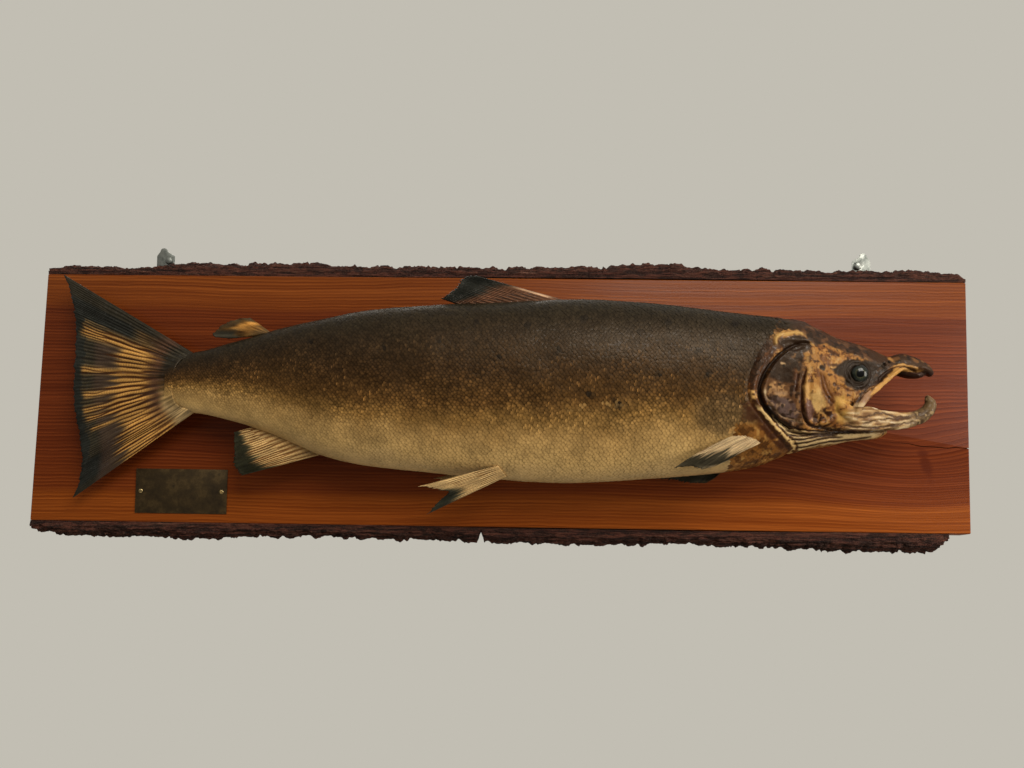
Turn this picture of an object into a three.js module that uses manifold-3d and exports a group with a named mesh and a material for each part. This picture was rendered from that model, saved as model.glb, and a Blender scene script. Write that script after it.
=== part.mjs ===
// A male Atlantic salmon, skin-mounted in profile on a live-edge wooden board with its bark, a blank
// brass plate and two hanging straps. Millimetres. +X runs from tail to head, +Z is up, and -Y faces
// the viewer. The origin is the middle of the board's back face, which lies against the wall.
import * as THREE from "three";
import { mergeVertices } from "three/addons/utils/BufferGeometryUtils.js";
import Module from "manifold-3d";

const wasm = await Module();
wasm.setup();

// ---- Driving dimensions ----------------------------------------------------------------------
const GAP = 0.3; // left between pieces that touch
const BOARD = {
  thickness: 24,
  left: -558, // mean place of the two sawn ends
  right: 558,
  halfHeight: 149.5, // wood only, without its bark
  endSlant: 3.8, // how far the left end leans out at its foot
  edgeWave: 0.9,
  waneyLean: 5, // how far each long edge leans out from the face to the back
};
const FACE = -BOARD.thickness; // y of the board's front face

const BARK = { back: -0.6, frontStep: 1, frontShare: 0.35, pitch: 14, roughness: 1.1 };
// How far the bark stands out from the edge of the face along the board: [x, reach].
const BARK_TOP = [[-554.2, 9.5], [-536, 14], [-440, 12.5], [-415, 17.5], [-250, 20], [-125, 16.5],
  [60, 15.5], [130, 16], [140, 20], [222, 21.5], [260, 16], [405, 16], [545, 16], [558, 10]];
const BARK_BOTTOM = [[-561.8, 15], [-480, 21], [-358, 22], [-237, 18.5], [-32, 18.5], [-23, 9],
  [-15, 10], [-4, 20], [125, 20.5], [244, 19], [340, 23], [522, 23.5], [533, 12]];

const PLATE = {
  x: -378.5, z: -112.5, width: 111, height: 53, thickness: 1.2, screwInset: 6.5, screwRadius: 2.8,
};
const HANGER = {
  places: [-419, 443.5], // x of each hanging plate
  names: ["left", "right"],
  halfWidth: 11, thickness: 1.8, bottom: 128, shoulder: 178, top: 188, tipRadius: 4.6,
  tipOffset: 2.5, eyeOffset: 5, // the tip leans away from the middle of the board, the eye towards it
  eye: 172, eyeRadius: 3.2,
  pocketDepth: 3.6, pocketMargin: 1.5,
  wallScrewRadius: 2.4, wallScrewHead: 5.2, wallScrewHeadHeight: 4,
  fixingRadius: 3, fixingHeight: 1.1, fixingOffset: 5.5, fixingPlace: 138,
};

// The fish's stations from tail to nape: [x, back, belly, half thickness, centreline's distance
// from the board].
const BODY = [
  [-388, 38, -8, 9, 28],
  [-361, 50.5, -17.7, 15, 30],
  [-337, 56.3, -21.5, 17.5, 32],
  [-312, 63.4, -27, 20.5, 35],
  [-288, 69.3, -33, 24, 38],
  [-249, 80.9, -46, 31, 41.5],
  [-193, 92.8, -67, 39, 46],
  [-146, 101.2, -76.5, 45, 49],
  [-76, 107.6, -83, 50.5, 51],
  [4, 110.8, -90, 53.5, 52],
  [83, 115.6, -93, 54.5, 52.5],
  [162, 112.9, -87.5, 54.5, 52.5],
  [230, 106.2, -81.5, 52.5, 52.5],
  [286, 100, -73, 49, 52],
  [322, 96.5, -60, 45, 52],
];
// A section's widest place is a share of its height, and its roundness is the power of its curve. The
// widest place and the distance from the board are numbers or columns of the table.
const BODY_SECTION = { widest: 0.53, roundness: 0.92, distanceColumn: 4 };
const TAIL_END = -388;
const TAIL_CUT = -300; // between trunk and tail stem
const NAPE_CUT = 322; // between trunk and head
const SNOUT = 490.5;
const HEAD_Y = 52; // the head's middle plane, from the board

// Head with cheeks and hooked upper jaw: [x, top, underside, half width, height share of the widest
// place].
const SKULL = [
  [282, 100, -30, 46, 0.44],
  [322, 96.3, -44, 46, 0.44],
  [343, 93.5, -46, 45.5, 0.44],
  [353, 88.5, -44, 44.5, 0.43],
  [365, 83, -38, 42.5, 0.42],
  [376, 77, -31, 40.5, 0.4],
  [386, 73, -20, 38.2, 0.38],
  [396, 70.5, -6, 35.2, 0.34],
  [404, 68.4, 3, 32, 0.3],
  [412, 66, 10.5, 28.8, 0.26],
  [421, 62.3, 16.5, 25, 0.24],
  [432, 57.2, 25.5, 21.4, 0.22],
  [440, 54.6, 32, 19, 0.2],
  [448, 57, 35.6, 17.4, 0.2],
  [456, 58.4, 36.4, 16.4, 0.22],
  [466, 56.4, 36.4, 14.8, 0.3],
  [476, 51.8, 35.6, 12.6, 0.36],
  [485, 46.6, 34, 9.2, 0.42],
  [490.5, 41, 32.6, 4.5, 0.5],
];
const SKULL_SECTION = { roundness: 0.88, widestColumn: 4 };
// Throat skin under the jaw: [x, top, underside, half width].
const THROAT = [
  [312, -14, -56, 31],
  [330, -15, -56.5, 32],
  [343, -17, -52.5, 32],
  [358, -20, -50.5, 29.5],
  [375, -23, -46.5, 26],
  [392, -25, -42.2, 22],
  [408, -26, -40, 18],
  [425, -26.5, -38.5, 12],
  [436, -28, -33, 5],
];
const THROAT_SECTION = { widest: 0.6, roundness: 0.85 };
const THROAT_TIP = 436;
// The room inside the open mouth: [x, roof, floor, half width].
const MOUTH = [
  [362, -4, -9, 4],
  [376, 2, -15, 14],
  [392, 9, -19, 21],
  [404, 17, -20, 22],
  [416, 26, -20, 19.5],
  [428, 35, -19, 16],
  [440, 42.5, -18, 13],
  [454, 46, -14.5, 10.5],
  [468, 44.5, -9, 8],
  [479, 41, -1, 4.5],
];
const MOUTH_SECTION = { widest: 0.45, roundness: 0.7 };
// One side of the lower jaw: [x, distance from the middle plane, z, half height, half breadth].
const JAW_SIDE = [
  [350, 36, -18, 8, 4],
  [372, 34, -18.5, 11, 4.5],
  [392, 30.5, -18, 12, 4.8],
  [406, 27.5, -16.5, 14, 4.8],
  [420, 23, -17.8, 12.2, 4.6],
  [436, 18.5, -18, 11, 4.4],
  [452, 13, -17.5, 9.5, 4.4],
  [466, 7.5, -15.5, 8.5, 4.6],
];
// The hooked tip of the lower jaw in the middle plane: [x, z, half depth, half breadth].
const KYPE = [
  [450, -20.5, 6.5, 10],
  [464, -16.5, 8.2, 9.6],
  [475, -12.5, 8.6, 8.4],
  [483, -6.5, 8, 7.2],
  [486.2, 1, 6.8, 6.2],
  [484.6, 7, 4.8, 4.8],
  [482.8, 10.6, 2.2, 2.6],
];
// The upper lip bone beside the mouth's corner: [x, distance from the middle plane, z, half height,
// half thickness].
const LIP_BONE = [
  [387.5, 37.6, -10, 4.2, 2],
  [392.5, 36.8, -1, 6, 2.2],
  [400, 34.4, 7, 5.8, 2.2],
  [411, 30.6, 15.4, 4.8, 2],
  [422, 26.4, 23, 3.6, 1.8],
  [434, 22.8, 31, 2.6, 1.6],
  [446, 19.5, 38.5, 1.8, 1.4],
];
// Each eye is turned forward by its turn in degrees, and lies in a shallow dish.
const EYE = { x: 395.2, z: 32, depth: 26.6, radius: 11.6, flatness: 0.8, turn: 22 };
const ORBIT = { depth: 35.7, radius: 13.6, flatness: 0.36 };

// The bony gill cover seen from the side, clockwise from its upper front corner: [x, z].
const GILL_OUTLINE = [[344, 61], [335, 63], [325, 60.5], [314, 54.5], [304.5, 46.5], [296, 37],
  [289, 25], [284.8, 12.3], [286.2, 1.7], [291.5, -6.8], [300.4, -16.2], [312, -23.5], [324, -29.7],
  [336, -33.5], [348, -34], [348, 0], [346, 36]];
const GILL_MIDDLE = [328, 12];
const GILL_REACH = 80; // from the head's middle plane past each cheek
const GILL_BULGE = 3; // how far the cover stands out from the head
const GILL_THICKNESS = 4;

// Fins: the root, then the outer margin, both from the leading ray to the last: [x, distance from the
// board, z].
const FINS = {
  tail_fin: {
    root: [[-359, 30, 46], [-379, 29, 37], [-386, 28, 16], [-380, 29, -5], [-359, 30, -14]],
    margin: [[-517, 22, 141.5], [-510, 24, 116], [-506, 25, 92], [-503, 26, 55], [-502, 26, 18],
      [-500, 25, -20], [-494, 24, -48], [-491, 22, -75], [-492, 20, -92], [-497, 19, -118]],
    columns: 16, rootThickness: 9, edgeThickness: 2.4,
  },
  dorsal_fin: {
    root: [[81, 52.5, 113.5], [23, 52.3, 109], [-34, 51.5, 104.5]],
    margin: [[-26, 50, 143], [-43, 51, 141.5], [-47, 53, 131], [-56, 54, 122], [-64.5, 54, 115]],
    columns: 8, rootThickness: 7, edgeThickness: 1.8,
  },
  adipose_fin: {
    root: [[-262, 41, 75.5], [-271, 40.5, 73.5], [-280, 40, 70.8]],
    margin: [[-287, 42, 92.5], [-305, 43, 91], [-322, 43, 82.5], [-332, 42.5, 70.5], [-312, 41.5, 67.5]],
    columns: 6, rootThickness: 7, edgeThickness: 3,
  },
  anal_fin: {
    root: [[-194, 46, -63.5], [-235, 43, -47], [-277, 39, -33.5]],
    margin: [[-290, 48, -90], [-299, 48, -82], [-300, 47, -62], [-301, 44, -40.5]],
    columns: 8, rootThickness: 7, edgeThickness: 1.8,
  },
  pelvic_fin_right: {
    root: [[14, 71, -85], [10, 76.5, -79], [5, 82, -72.5]],
    margin: [[-72, 85, -126.5], [-63, 86, -114], [-50, 87, -103], [-61, 89, -100], [-81, 90, -96]],
    columns: 7, rootThickness: 6, edgeThickness: 1.6,
  },
  pelvic_fin_left: {
    root: [[14, 34, -85], [10, 28.5, -79], [5, 23, -72.5]],
    margin: [[-66, 20, -118], [-57, 19, -108], [-47, 18, -101], [-58, 17, -97], [-74, 16, -92]],
    columns: 7, rootThickness: 6, edgeThickness: 1.6,
  },
  pectoral_fin_right: {
    root: [[287, 95.5, -25], [291, 93.5, -32.5], [292, 90.5, -41]],
    margin: [[192, 99, -72], [208, 98, -71.5], [222, 97, -73.5], [240, 95, -68.5], [262, 93, -56]],
    columns: 7, rootThickness: 6, edgeThickness: 1.6,
  },
  pectoral_fin_left: {
    root: [[288, 10, -30], [291, 13, -37], [292, 17, -45]],
    margin: [[180, 17, -88], [205, 17, -92], [228, 17, -94.5], [246, 17, -93], [266, 16, -78]],
    columns: 7, rootThickness: 5, edgeThickness: 1.6,
  },
};
const FIN_ROWS = 4;

// Colour, roughness and metalness.
const COLOURS = {
  wood: [0x8a4a24, 0.45, 0],
  bark: [0x3a2420, 0.95, 0],
  brass: [0x5d4c2c, 0.4, 0.9],
  steel: [0x7c7f78, 0.5, 0.9],
  skin: [0x6a5632, 0.45, 0],
  face: [0xa87838, 0.4, 0],
  fin: [0x8a6c3c, 0.45, 0],
  eye: [0x15181a, 0.08, 0],
};

// ---- Shared makers ---------------------------------------------------------------------------
const group = new THREE.Group();

function addMesh(name, geometry, colourName) {
  const [color, roughness, metalness] = COLOURS[colourName];
  geometry.computeVertexNormals();
  const material = new THREE.MeshStandardMaterial({ color, roughness, metalness });
  const mesh = new THREE.Mesh(geometry, material);
  mesh.name = name;
  group.add(mesh);
}

// Smooth value of one column of a table at x. The first column holds the x values, in rising order.
function valueAt(rows, column, x) {
  const last = rows.length - 1;
  if (x <= rows[0][0]) return rows[0][column];
  if (x >= rows[last][0]) return rows[last][column];
  let i = 0;
  while (x > rows[i + 1][0]) i += 1;
  const slope = (k) => {
    const a = Math.max(0, k - 1);
    const b = Math.min(last, k + 1);
    return (rows[b][column] - rows[a][column]) / (rows[b][0] - rows[a][0]);
  };
  const span = rows[i + 1][0] - rows[i][0];
  const t = (x - rows[i][0]) / span;
  const [p, q] = [rows[i][column], rows[i + 1][column]];
  const [m, n] = [slope(i) * span, slope(i + 1) * span];
  return p + t * (m + t * (3 * (q - p) - 2 * m - n + t * (2 * (p - q) + m + n)));
}

function closedGeometry(points, triangles) {
  const geometry = new THREE.BufferGeometry();
  const places = points.flatMap((p) => [p.x, p.y, p.z]);
  geometry.setAttribute("position", new THREE.Float32BufferAttribute(places, 3));
  geometry.setIndex(triangles);
  return geometry;
}

function toSolid(geometry) {
  const bare = geometry.clone();
  bare.deleteAttribute("normal");
  bare.deleteAttribute("uv");
  const merged = mergeVertices(bare, 1e-4);
  const build = (triVerts) => new wasm.Manifold(new wasm.Mesh({
    numProp: 3, vertProperties: merged.getAttribute("position").array, triVerts,
  }));
  const triVerts = new Uint32Array(merged.index.array);
  const made = build(triVerts);
  return made.volume() > 0 ? made : build(triVerts.reverse());
}

function toGeometry(solid) {
  const mesh = solid.getMesh();
  const points = [];
  for (let i = 0; i < mesh.numVert; i += 1) {
    const start = i * mesh.numProp;
    points.push(new THREE.Vector3(...mesh.vertProperties.subarray(start, start + 3)));
  }
  return closedGeometry(points, Array.from(mesh.triVerts));
}

// Joins rings of equal length into one closed skin, with a fan over each end.
function loft(rings) {
  const count = rings[0].length;
  const points = rings.flat();
  const triangles = [];
  for (let r = 0; r + 1 < rings.length; r += 1) {
    for (let k = 0; k < count; k += 1) {
      const a = r * count + k;
      const b = r * count + ((k + 1) % count);
      triangles.push(a, b, a + count, b, b + count, a + count);
    }
  }
  const ends = [[0, rings[0], false], [(rings.length - 1) * count, rings[rings.length - 1], true]];
  ends.forEach(([start, ring, flip]) => {
    const middle = points.length;
    points.push(ring.reduce((sum, p) => sum.add(p), new THREE.Vector3()).divideScalar(count));
    for (let k = 0; k < count; k += 1) {
      const next = start + ((k + 1) % count);
      triangles.push(...(flip ? [start + k, next, middle] : [next, start + k, middle]));
    }
  });
  return toSolid(closedGeometry(points, triangles));
}

// One oval section of the fish, with its widest place at the height called middle. It stops short of
// the board.
function oval({ x, top, middle, bottom, halfWidth, distance }, roundness, segments) {
  return Array.from({ length: segments }, (_, k) => {
    const angle = (2 * Math.PI * k) / segments;
    const across = Math.sign(Math.cos(angle)) * Math.abs(Math.cos(angle)) ** roundness;
    const up = Math.sin(angle);
    const y = FACE - distance - halfWidth * across;
    const z = middle + up * (up > 0 ? top - middle : middle - bottom);
    return new THREE.Vector3(x, Math.min(y, FACE - GAP), z);
  });
}

// Loft through evenly spaced sections of a table, from one x to another.
function sectionLoft(table, shape, from, to, step, segments, extra = 0) {
  const steps = Math.max(1, Math.round((to - from) / step));
  return loft(Array.from({ length: steps + 1 }, (_, i) => {
    const x = from + ((to - from) * i) / steps;
    const read = (column, otherwise) => (column ? valueAt(table, column, x) : otherwise);
    const [top, bottom, halfWidth] = [1, 2, 3].map((column) => valueAt(table, column, x));
    const distance = read(shape.distanceColumn, HEAD_Y);
    const middle = bottom + read(shape.widestColumn, shape.widest) * (top - bottom);
    const section = { x, top, middle, bottom, halfWidth: halfWidth + extra, distance };
    return oval(section, shape.roundness, segments);
  }));
}

// A bar with an oval section along a path of points, each with half sizes up and across the path.
function bar(path, segments) {
  const curve = new THREE.CatmullRomCurve3(path.map((p) => p.place), false, "centripetal");
  return loft(path.map(({ high, broad }, i) => {
    const t = i / (path.length - 1);
    const along = curve.getTangent(t);
    const side = new THREE.Vector3(0, 1, 0).addScaledVector(along, -along.y).normalize();
    const up = new THREE.Vector3().crossVectors(side, along).normalize();
    return Array.from({ length: segments }, (_, k) => {
      const angle = (2 * Math.PI * k) / segments;
      return path[i].place.clone()
        .addScaledVector(up, high * Math.sin(angle))
        .addScaledVector(side, broad * Math.cos(angle));
    });
  }));
}

// A prism between two values of y from an outline in X and Z. The function bend may move each corner up
// or down.
function prism(outline, from, to, bend = (x, y, z) => z) {
  const shape = new THREE.Shape(outline.map(([x, z]) => new THREE.Vector2(x, z)));
  const geometry = new THREE.ExtrudeGeometry(shape, { depth: Math.abs(to - from), bevelEnabled: false });
  geometry.rotateX(Math.PI / 2); // the outline now lies in XZ, and its depth runs to -Y
  geometry.translate(0, Math.max(from, to), 0);
  const place = geometry.getAttribute("position");
  for (let i = 0; i < place.count; i += 1) {
    place.setZ(i, bend(place.getX(i), place.getY(i), place.getZ(i)));
  }
  return toSolid(geometry);
}

// ---- Board, bark, plate and straps -----------------------------------------------------------
const boardEdge = (x) => BOARD.halfHeight + BOARD.edgeWave * Math.sin(x / 140 + 0.6);
const boardLeft = (z) => BOARD.left + (BOARD.endSlant * z) / BOARD.halfHeight;
const depthShare = (y) => (y - FACE) / BOARD.thickness; // 0 at the face, 1 at the back
const EDGE_STEPS = 18;

// Evenly spaced points along one long edge of the face, from one x to another.
function edgePoints(side, from, to) {
  return Array.from({ length: EDGE_STEPS + 1 }, (_, i) => {
    const x = from + ((to - from) * i) / EDGE_STEPS;
    return [x, side * boardEdge(x)];
  });
}

// The hanging plates are let into the back, and this is the room that one takes.
function hangerPocket(x) {
  const half = HANGER.halfWidth + HANGER.pocketMargin;
  const [low, high] = [HANGER.bottom - HANGER.pocketMargin, HANGER.top + HANGER.pocketMargin];
  const outline = [[x - half, low], [x + half, low], [x + half, high], [x - half, high]];
  return prism(outline, 1, -HANGER.pocketDepth);
}

function makeBoard() {
  const [head, foot] = [boardLeft(BOARD.halfHeight), boardLeft(-BOARD.halfHeight)];
  const outline = [...edgePoints(1, head, BOARD.right), ...edgePoints(-1, foot, BOARD.right).reverse()];
  const lean = (x, y, z) => z + Math.sign(z) * BOARD.waneyLean * depthShare(y);
  const plank = prism(outline, 0, FACE, lean);
  const board = HANGER.places.reduce((wood, x) => wood.subtract(hangerPocket(x)), plank);
  addMesh("board", toGeometry(board), "wood");
}

// The bark's outer line is broken by chips, which two sines of unlike length give.
function barkReach(table, x) {
  return valueAt(table, 1, x) + BARK.roughness * (Math.sin(x * 0.19) + 0.6 * Math.sin(x * 0.47 + 1));
}

function makeBark(name, table, side) {
  const [from, to] = [table[0][0], table[table.length - 1][0]];
  const steps = Math.round((to - from) / BARK.pitch);
  const outer = Array.from({ length: steps + 1 }, (_, i) => {
    const x = from + ((to - from) * i) / steps;
    return [x, side * (boardEdge(x) + barkReach(table, x))];
  });
  const inner = edgePoints(side, from, to);
  const slope = (x, y, z) => {
    const share = depthShare(y);
    const wood = boardEdge(x) + BOARD.waneyLean * share + GAP;
    const reachShare = BARK.frontShare + (1 - BARK.frontShare) * share;
    const beyond = Math.max(0, Math.abs(z) - boardEdge(x)) * reachShare;
    return side * (wood + Math.max(0, beyond - BOARD.waneyLean * share));
  };
  const strip = prism([...inner, ...outer.reverse()], BARK.back, FACE + BARK.frontStep, slope);
  const bark = HANGER.places.reduce((solid, x) => solid.subtract(hangerPocket(x)), strip);
  addMesh(name, toGeometry(bark), "bark");
}

// A round dome or disc whose axis runs to -Y, from the y of its foot.
function turned(profile, x, y, z, segments) {
  const geometry = new THREE.LatheGeometry(profile.map(([r, h]) => new THREE.Vector2(r, h)), segments);
  geometry.rotateX(Math.PI); // the lathe's +Y axis now runs to -Y
  geometry.translate(x, y, z);
  return toSolid(geometry);
}

function dome(x, y, z, radius, height) {
  return turned([[0, 0], [radius, 0], [radius * 0.75, height * 0.75], [0, height]], x, y, z, 12);
}

function makePlate() {
  const { x, z, width, height, thickness, screwInset, screwRadius } = PLATE;
  const back = FACE - GAP / 3;
  const front = back - thickness;
  const [w, h] = [width / 2, height / 2];
  const outline = [[x - w, z - h], [x + w, z - h], [x + w, z + h], [x - w, z + h]];
  addMesh("name_plate", toGeometry(prism(outline, back, front)), "brass");
  [["left", -1], ["right", 1]].forEach(([side, way]) => {
    const screw = dome(x + way * (w - screwInset), front - GAP / 3, z, screwRadius, 1.6);
    addMesh(`plate_screw_${side}`, toGeometry(screw), "brass");
  });
}

function makeHanger(place, name) {
  const { halfWidth, thickness, bottom, shoulder, top, tipRadius, tipOffset, pocketDepth } = HANGER;
  const outward = Math.sign(place);
  const front = -pocketDepth + GAP;
  const back = front + thickness;
  const tip = [place + outward * tipOffset, top - tipRadius];
  const rounded = Array.from({ length: 9 }, (_, i) => {
    const angle = (Math.PI * i) / 8;
    return [tip[0] + tipRadius * Math.cos(angle), tip[1] + tipRadius * Math.sin(angle)];
  });
  const outline = [[place - halfWidth, bottom], [place + halfWidth, bottom],
    [place + halfWidth, shoulder], ...rounded, [place - halfWidth, shoulder]];
  const eyeX = place - outward * HANGER.eyeOffset;
  const rod = (radius, from, to) => turned([[0, 0], [radius, 0], [radius, from - to], [0, from - to]],
    eyeX, from, HANGER.eye, 12);
  const strap = prism(outline, back, front).subtract(rod(HANGER.eyeRadius, 3, -10));
  addMesh(`hanger_${name}`, toGeometry(strap), "steel");
  [-1, 1].forEach((way, i) => {
    const x = place + way * HANGER.fixingOffset;
    const screw = dome(0, 0, 0, HANGER.fixingRadius, HANGER.fixingHeight)
      .rotate([0, 0, 180])
      .translate([x, back + GAP / 3, HANGER.fixingPlace]);
    addMesh(`hanger_screw_${name}_${i + 1}`, toGeometry(screw), "steel");
  });
  const head = dome(eyeX, front - GAP / 2, HANGER.eye, HANGER.wallScrewHead, HANGER.wallScrewHeadHeight);
  const wallScrew = head.add(rod(HANGER.wallScrewRadius, -GAP, front - 1));
  addMesh(`wall_screw_${name}`, toGeometry(wallScrew), "steel");
}

// ---- Trunk, tail stem, head and jaws ---------------------------------------------------------
const bothSides = (make) => [["right", -1], ["left", 1]].forEach(([name, way]) => make(name, way));
const sidePlace = (x, out, z, way) => new THREE.Vector3(x, FACE - HEAD_Y + way * out, z);

function sideBar(table, way, segments, grow = 0) {
  return bar(table.map(([x, out, z, high, broad]) => (
    { place: sidePlace(x, out, z, way), high: high + grow, broad: broad + grow })), segments);
}

const headShell = (extra) => sectionLoft(SKULL, SKULL_SECTION, SKULL[0][0], 366, 12, 24, extra);

// The room that one gill cover takes, grown by "spare" away from the cover's middle.
function coverRoom(way, spare) {
  const plane = FACE - HEAD_Y;
  const outline = GILL_OUTLINE.map(([x, z]) => (
    [x + Math.sign(x - GILL_MIDDLE[0]) * spare, z + Math.sign(z - GILL_MIDDLE[1]) * spare]));
  return prism(outline, plane, plane + way * GILL_REACH);
}

function makeCovers() {
  const outer = headShell(GILL_BULGE);
  const inner = headShell(GILL_BULGE - GILL_THICKNESS);
  bothSides((side, way) => {
    const cover = coverRoom(way, 0).intersect(outer).subtract(inner);
    addMesh(`gill_cover_${side}`, toGeometry(largest(cover)), "face");
  });
}

// What the head, throat and trunk lose to the covers.
function coverClearance() {
  const inner = headShell(GILL_BULGE - GILL_THICKNESS - GAP);
  return coverRoom(-1, GAP).add(coverRoom(1, GAP)).subtract(inner);
}

// A flattened ball at the eye's place, as the eye itself and, grown, the room for it.
function eyeBall(way, { depth, radius, flatness }, grow = 0) {
  const ball = new THREE.SphereGeometry(radius + grow, 12, 8);
  ball.rotateX(Math.PI / 2);
  ball.scale(1, flatness, 1);
  ball.rotateZ(-way * THREE.MathUtils.degToRad(EYE.turn));
  ball.translate(EYE.x, FACE - HEAD_Y + way * depth, EYE.z);
  return toSolid(ball);
}

function jawSolid(grow) {
  const kype = bar(KYPE.map(([x, z, high, broad]) => (
    { place: sidePlace(x, 0, z, 1), high: high + grow, broad: broad + grow })), 12);
  return kype.add(sideBar(JAW_SIDE, 1, 10, grow)).add(sideBar(JAW_SIDE, -1, 10, grow));
}

function makeFish() {
  const finRoots = Object.values(FINS).map((fin) => finSolid(fin, GAP)).reduce((sum, fin) => sum.add(fin));
  const clearance = coverClearance();
  const mouth = sectionLoft(MOUTH, MOUTH_SECTION, 362, 479, 11.7, 14);
  const body = (from, to) => sectionLoft(BODY, BODY_SECTION, from, to, 31, 24).subtract(finRoots);
  addMesh("trunk", toGeometry(largest(body(TAIL_CUT, NAPE_CUT - GAP).subtract(clearance))), "skin");
  addMesh("tail_stem", toGeometry(body(TAIL_END, TAIL_CUT - GAP)), "skin");
  makeCovers();

  const throat = sectionLoft(THROAT, THROAT_SECTION, NAPE_CUT, THROAT_TIP, 14, 12);
  const throatRoom = sectionLoft(THROAT, THROAT_SECTION, NAPE_CUT - 1, THROAT_TIP + 0.5, 14, 12, GAP)
    .translate([0, 0, GAP]);
  const lipBones = sideBar(LIP_BONE, 1, 8, GAP).add(sideBar(LIP_BONE, -1, 8, GAP));
  const sockets = [-1, 1].map((way) => eyeBall(way, EYE, GAP).add(eyeBall(way, ORBIT)))
    .reduce((sum, socket) => sum.add(socket));
  const skull = sectionLoft(SKULL, SKULL_SECTION, NAPE_CUT, SNOUT, 9.8, 20);
  const head = [mouth, clearance, sockets, lipBones, throatRoom, jawSolid(GAP)]
    .reduce((solid, room) => solid.subtract(room), skull);
  addMesh("head", toGeometry(largest(head)), "face");
  const jaw = [clearance, lipBones, throatRoom].reduce((solid, room) => solid.subtract(room), jawSolid(0));
  addMesh("lower_jaw", toGeometry(largest(jaw)), "face");
  addMesh("throat", toGeometry(largest(throat.subtract(clearance).subtract(mouth))), "face");
  bothSides((side, way) => {
    addMesh(`lip_bone_${side}`, toGeometry(sideBar(LIP_BONE, way, 8)), "face");
    addMesh(`eye_${side}`, toGeometry(eyeBall(way, EYE)), "eye");
  });
}

// The biggest body of a cut solid: slivers left over by a cut are dropped.
function largest(solid) {
  return solid.decompose().reduce((best, part) => (part.volume() > best.volume() ? part : best));
}

// ---- Fins ------------------------------------------------------------------------------------
// A fin is a thin closed sheet between its root and its margin, thick at the root and thin at the edge.
function finSolid({ root, margin, columns, rootThickness, edgeThickness }, grow = 0) {
  const line = (points) => new THREE.CatmullRomCurve3(
    points.map(([x, distance, z]) => new THREE.Vector3(x, FACE - distance, z)), false, "centripetal");
  const [inner, outer] = [line(root), line(margin)];
  const rings = Array.from({ length: columns + 1 }, (_, c) => {
    const v = c / columns;
    const [a, b] = [inner.getPoint(v), outer.getPoint(v)];
    const side = Array.from({ length: FIN_ROWS + 1 }, (_, r) => {
      const u = r / FIN_ROWS;
      const taper = v === 0 || v === 1 ? 0.45 : 1;
      const half = ((rootThickness * (1 - u) + edgeThickness * u) * taper) / 2 + grow;
      return [a.clone().lerp(b, u), half];
    });
    const near = side.map(([p, half]) => p.clone().add(new THREE.Vector3(0, -half, 0)));
    const far = side.map(([p, half]) => p.clone().add(new THREE.Vector3(0, half, 0))).reverse();
    return [...near, ...far];
  });
  return loft(rings);
}

function makeFins() {
  Object.entries(FINS).forEach(([name, fin]) => addMesh(name, toGeometry(finSolid(fin)), "fin"));
}

makeBoard();
makeBark("bark_top", BARK_TOP, 1);
makeBark("bark_bottom", BARK_BOTTOM, -1);
makePlate();
HANGER.places.forEach((place, i) => makeHanger(place, HANGER.names[i]));
makeFish();
makeFins();

export default group;
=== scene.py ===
import itertools
import math

import bmesh
import bpy
import numpy as np
from mathutils import Matrix, Vector
from mathutils.bvhtree import BVHTree


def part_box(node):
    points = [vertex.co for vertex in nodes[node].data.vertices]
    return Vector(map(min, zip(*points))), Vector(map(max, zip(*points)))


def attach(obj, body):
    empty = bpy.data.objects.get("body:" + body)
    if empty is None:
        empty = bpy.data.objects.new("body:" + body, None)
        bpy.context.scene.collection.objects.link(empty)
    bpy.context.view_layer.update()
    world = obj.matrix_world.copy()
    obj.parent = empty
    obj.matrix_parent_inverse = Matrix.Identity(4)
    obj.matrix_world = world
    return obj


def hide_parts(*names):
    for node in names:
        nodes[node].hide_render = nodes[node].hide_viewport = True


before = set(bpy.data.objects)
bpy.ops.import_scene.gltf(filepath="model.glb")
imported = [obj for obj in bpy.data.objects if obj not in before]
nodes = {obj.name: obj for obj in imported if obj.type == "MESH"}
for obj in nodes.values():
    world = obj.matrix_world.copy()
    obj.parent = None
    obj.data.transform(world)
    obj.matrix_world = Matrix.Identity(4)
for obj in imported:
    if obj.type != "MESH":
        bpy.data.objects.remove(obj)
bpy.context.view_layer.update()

# ---- Camera and view ---------------------------------------------------------------------------
# The mount hangs at eye level and is seen square on, from just under a metre away, with the camera
# tipped up a little and turned slightly to the left.
EYE_POINT = Vector((0.0382, -0.9459, -0.0319))
TIP_UP, TURN_LEFT, ROLL = (math.radians(angle) for angle in (3.3, 1.3, 0.75))
FOCAL_SHARE = 769 / 1024  # focal length over picture width

camera = bpy.data.objects.new("camera", bpy.data.cameras.new("camera"))
camera.data.sensor_width = 36
camera.data.lens = camera.data.sensor_width * FOCAL_SHARE
camera.data.clip_start = 0.01
camera.matrix_world = (
    Matrix.Translation(EYE_POINT)
    @ Matrix.Rotation(TURN_LEFT, 4, "Z")
    @ Matrix.Rotation(math.pi / 2 + TIP_UP, 4, "X")
    @ Matrix.Rotation(ROLL, 4, "Z")
)
bpy.context.collection.objects.link(camera)
bpy.context.scene.camera = camera
bpy.context.scene.view_settings.view_transform = "Standard"

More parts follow.
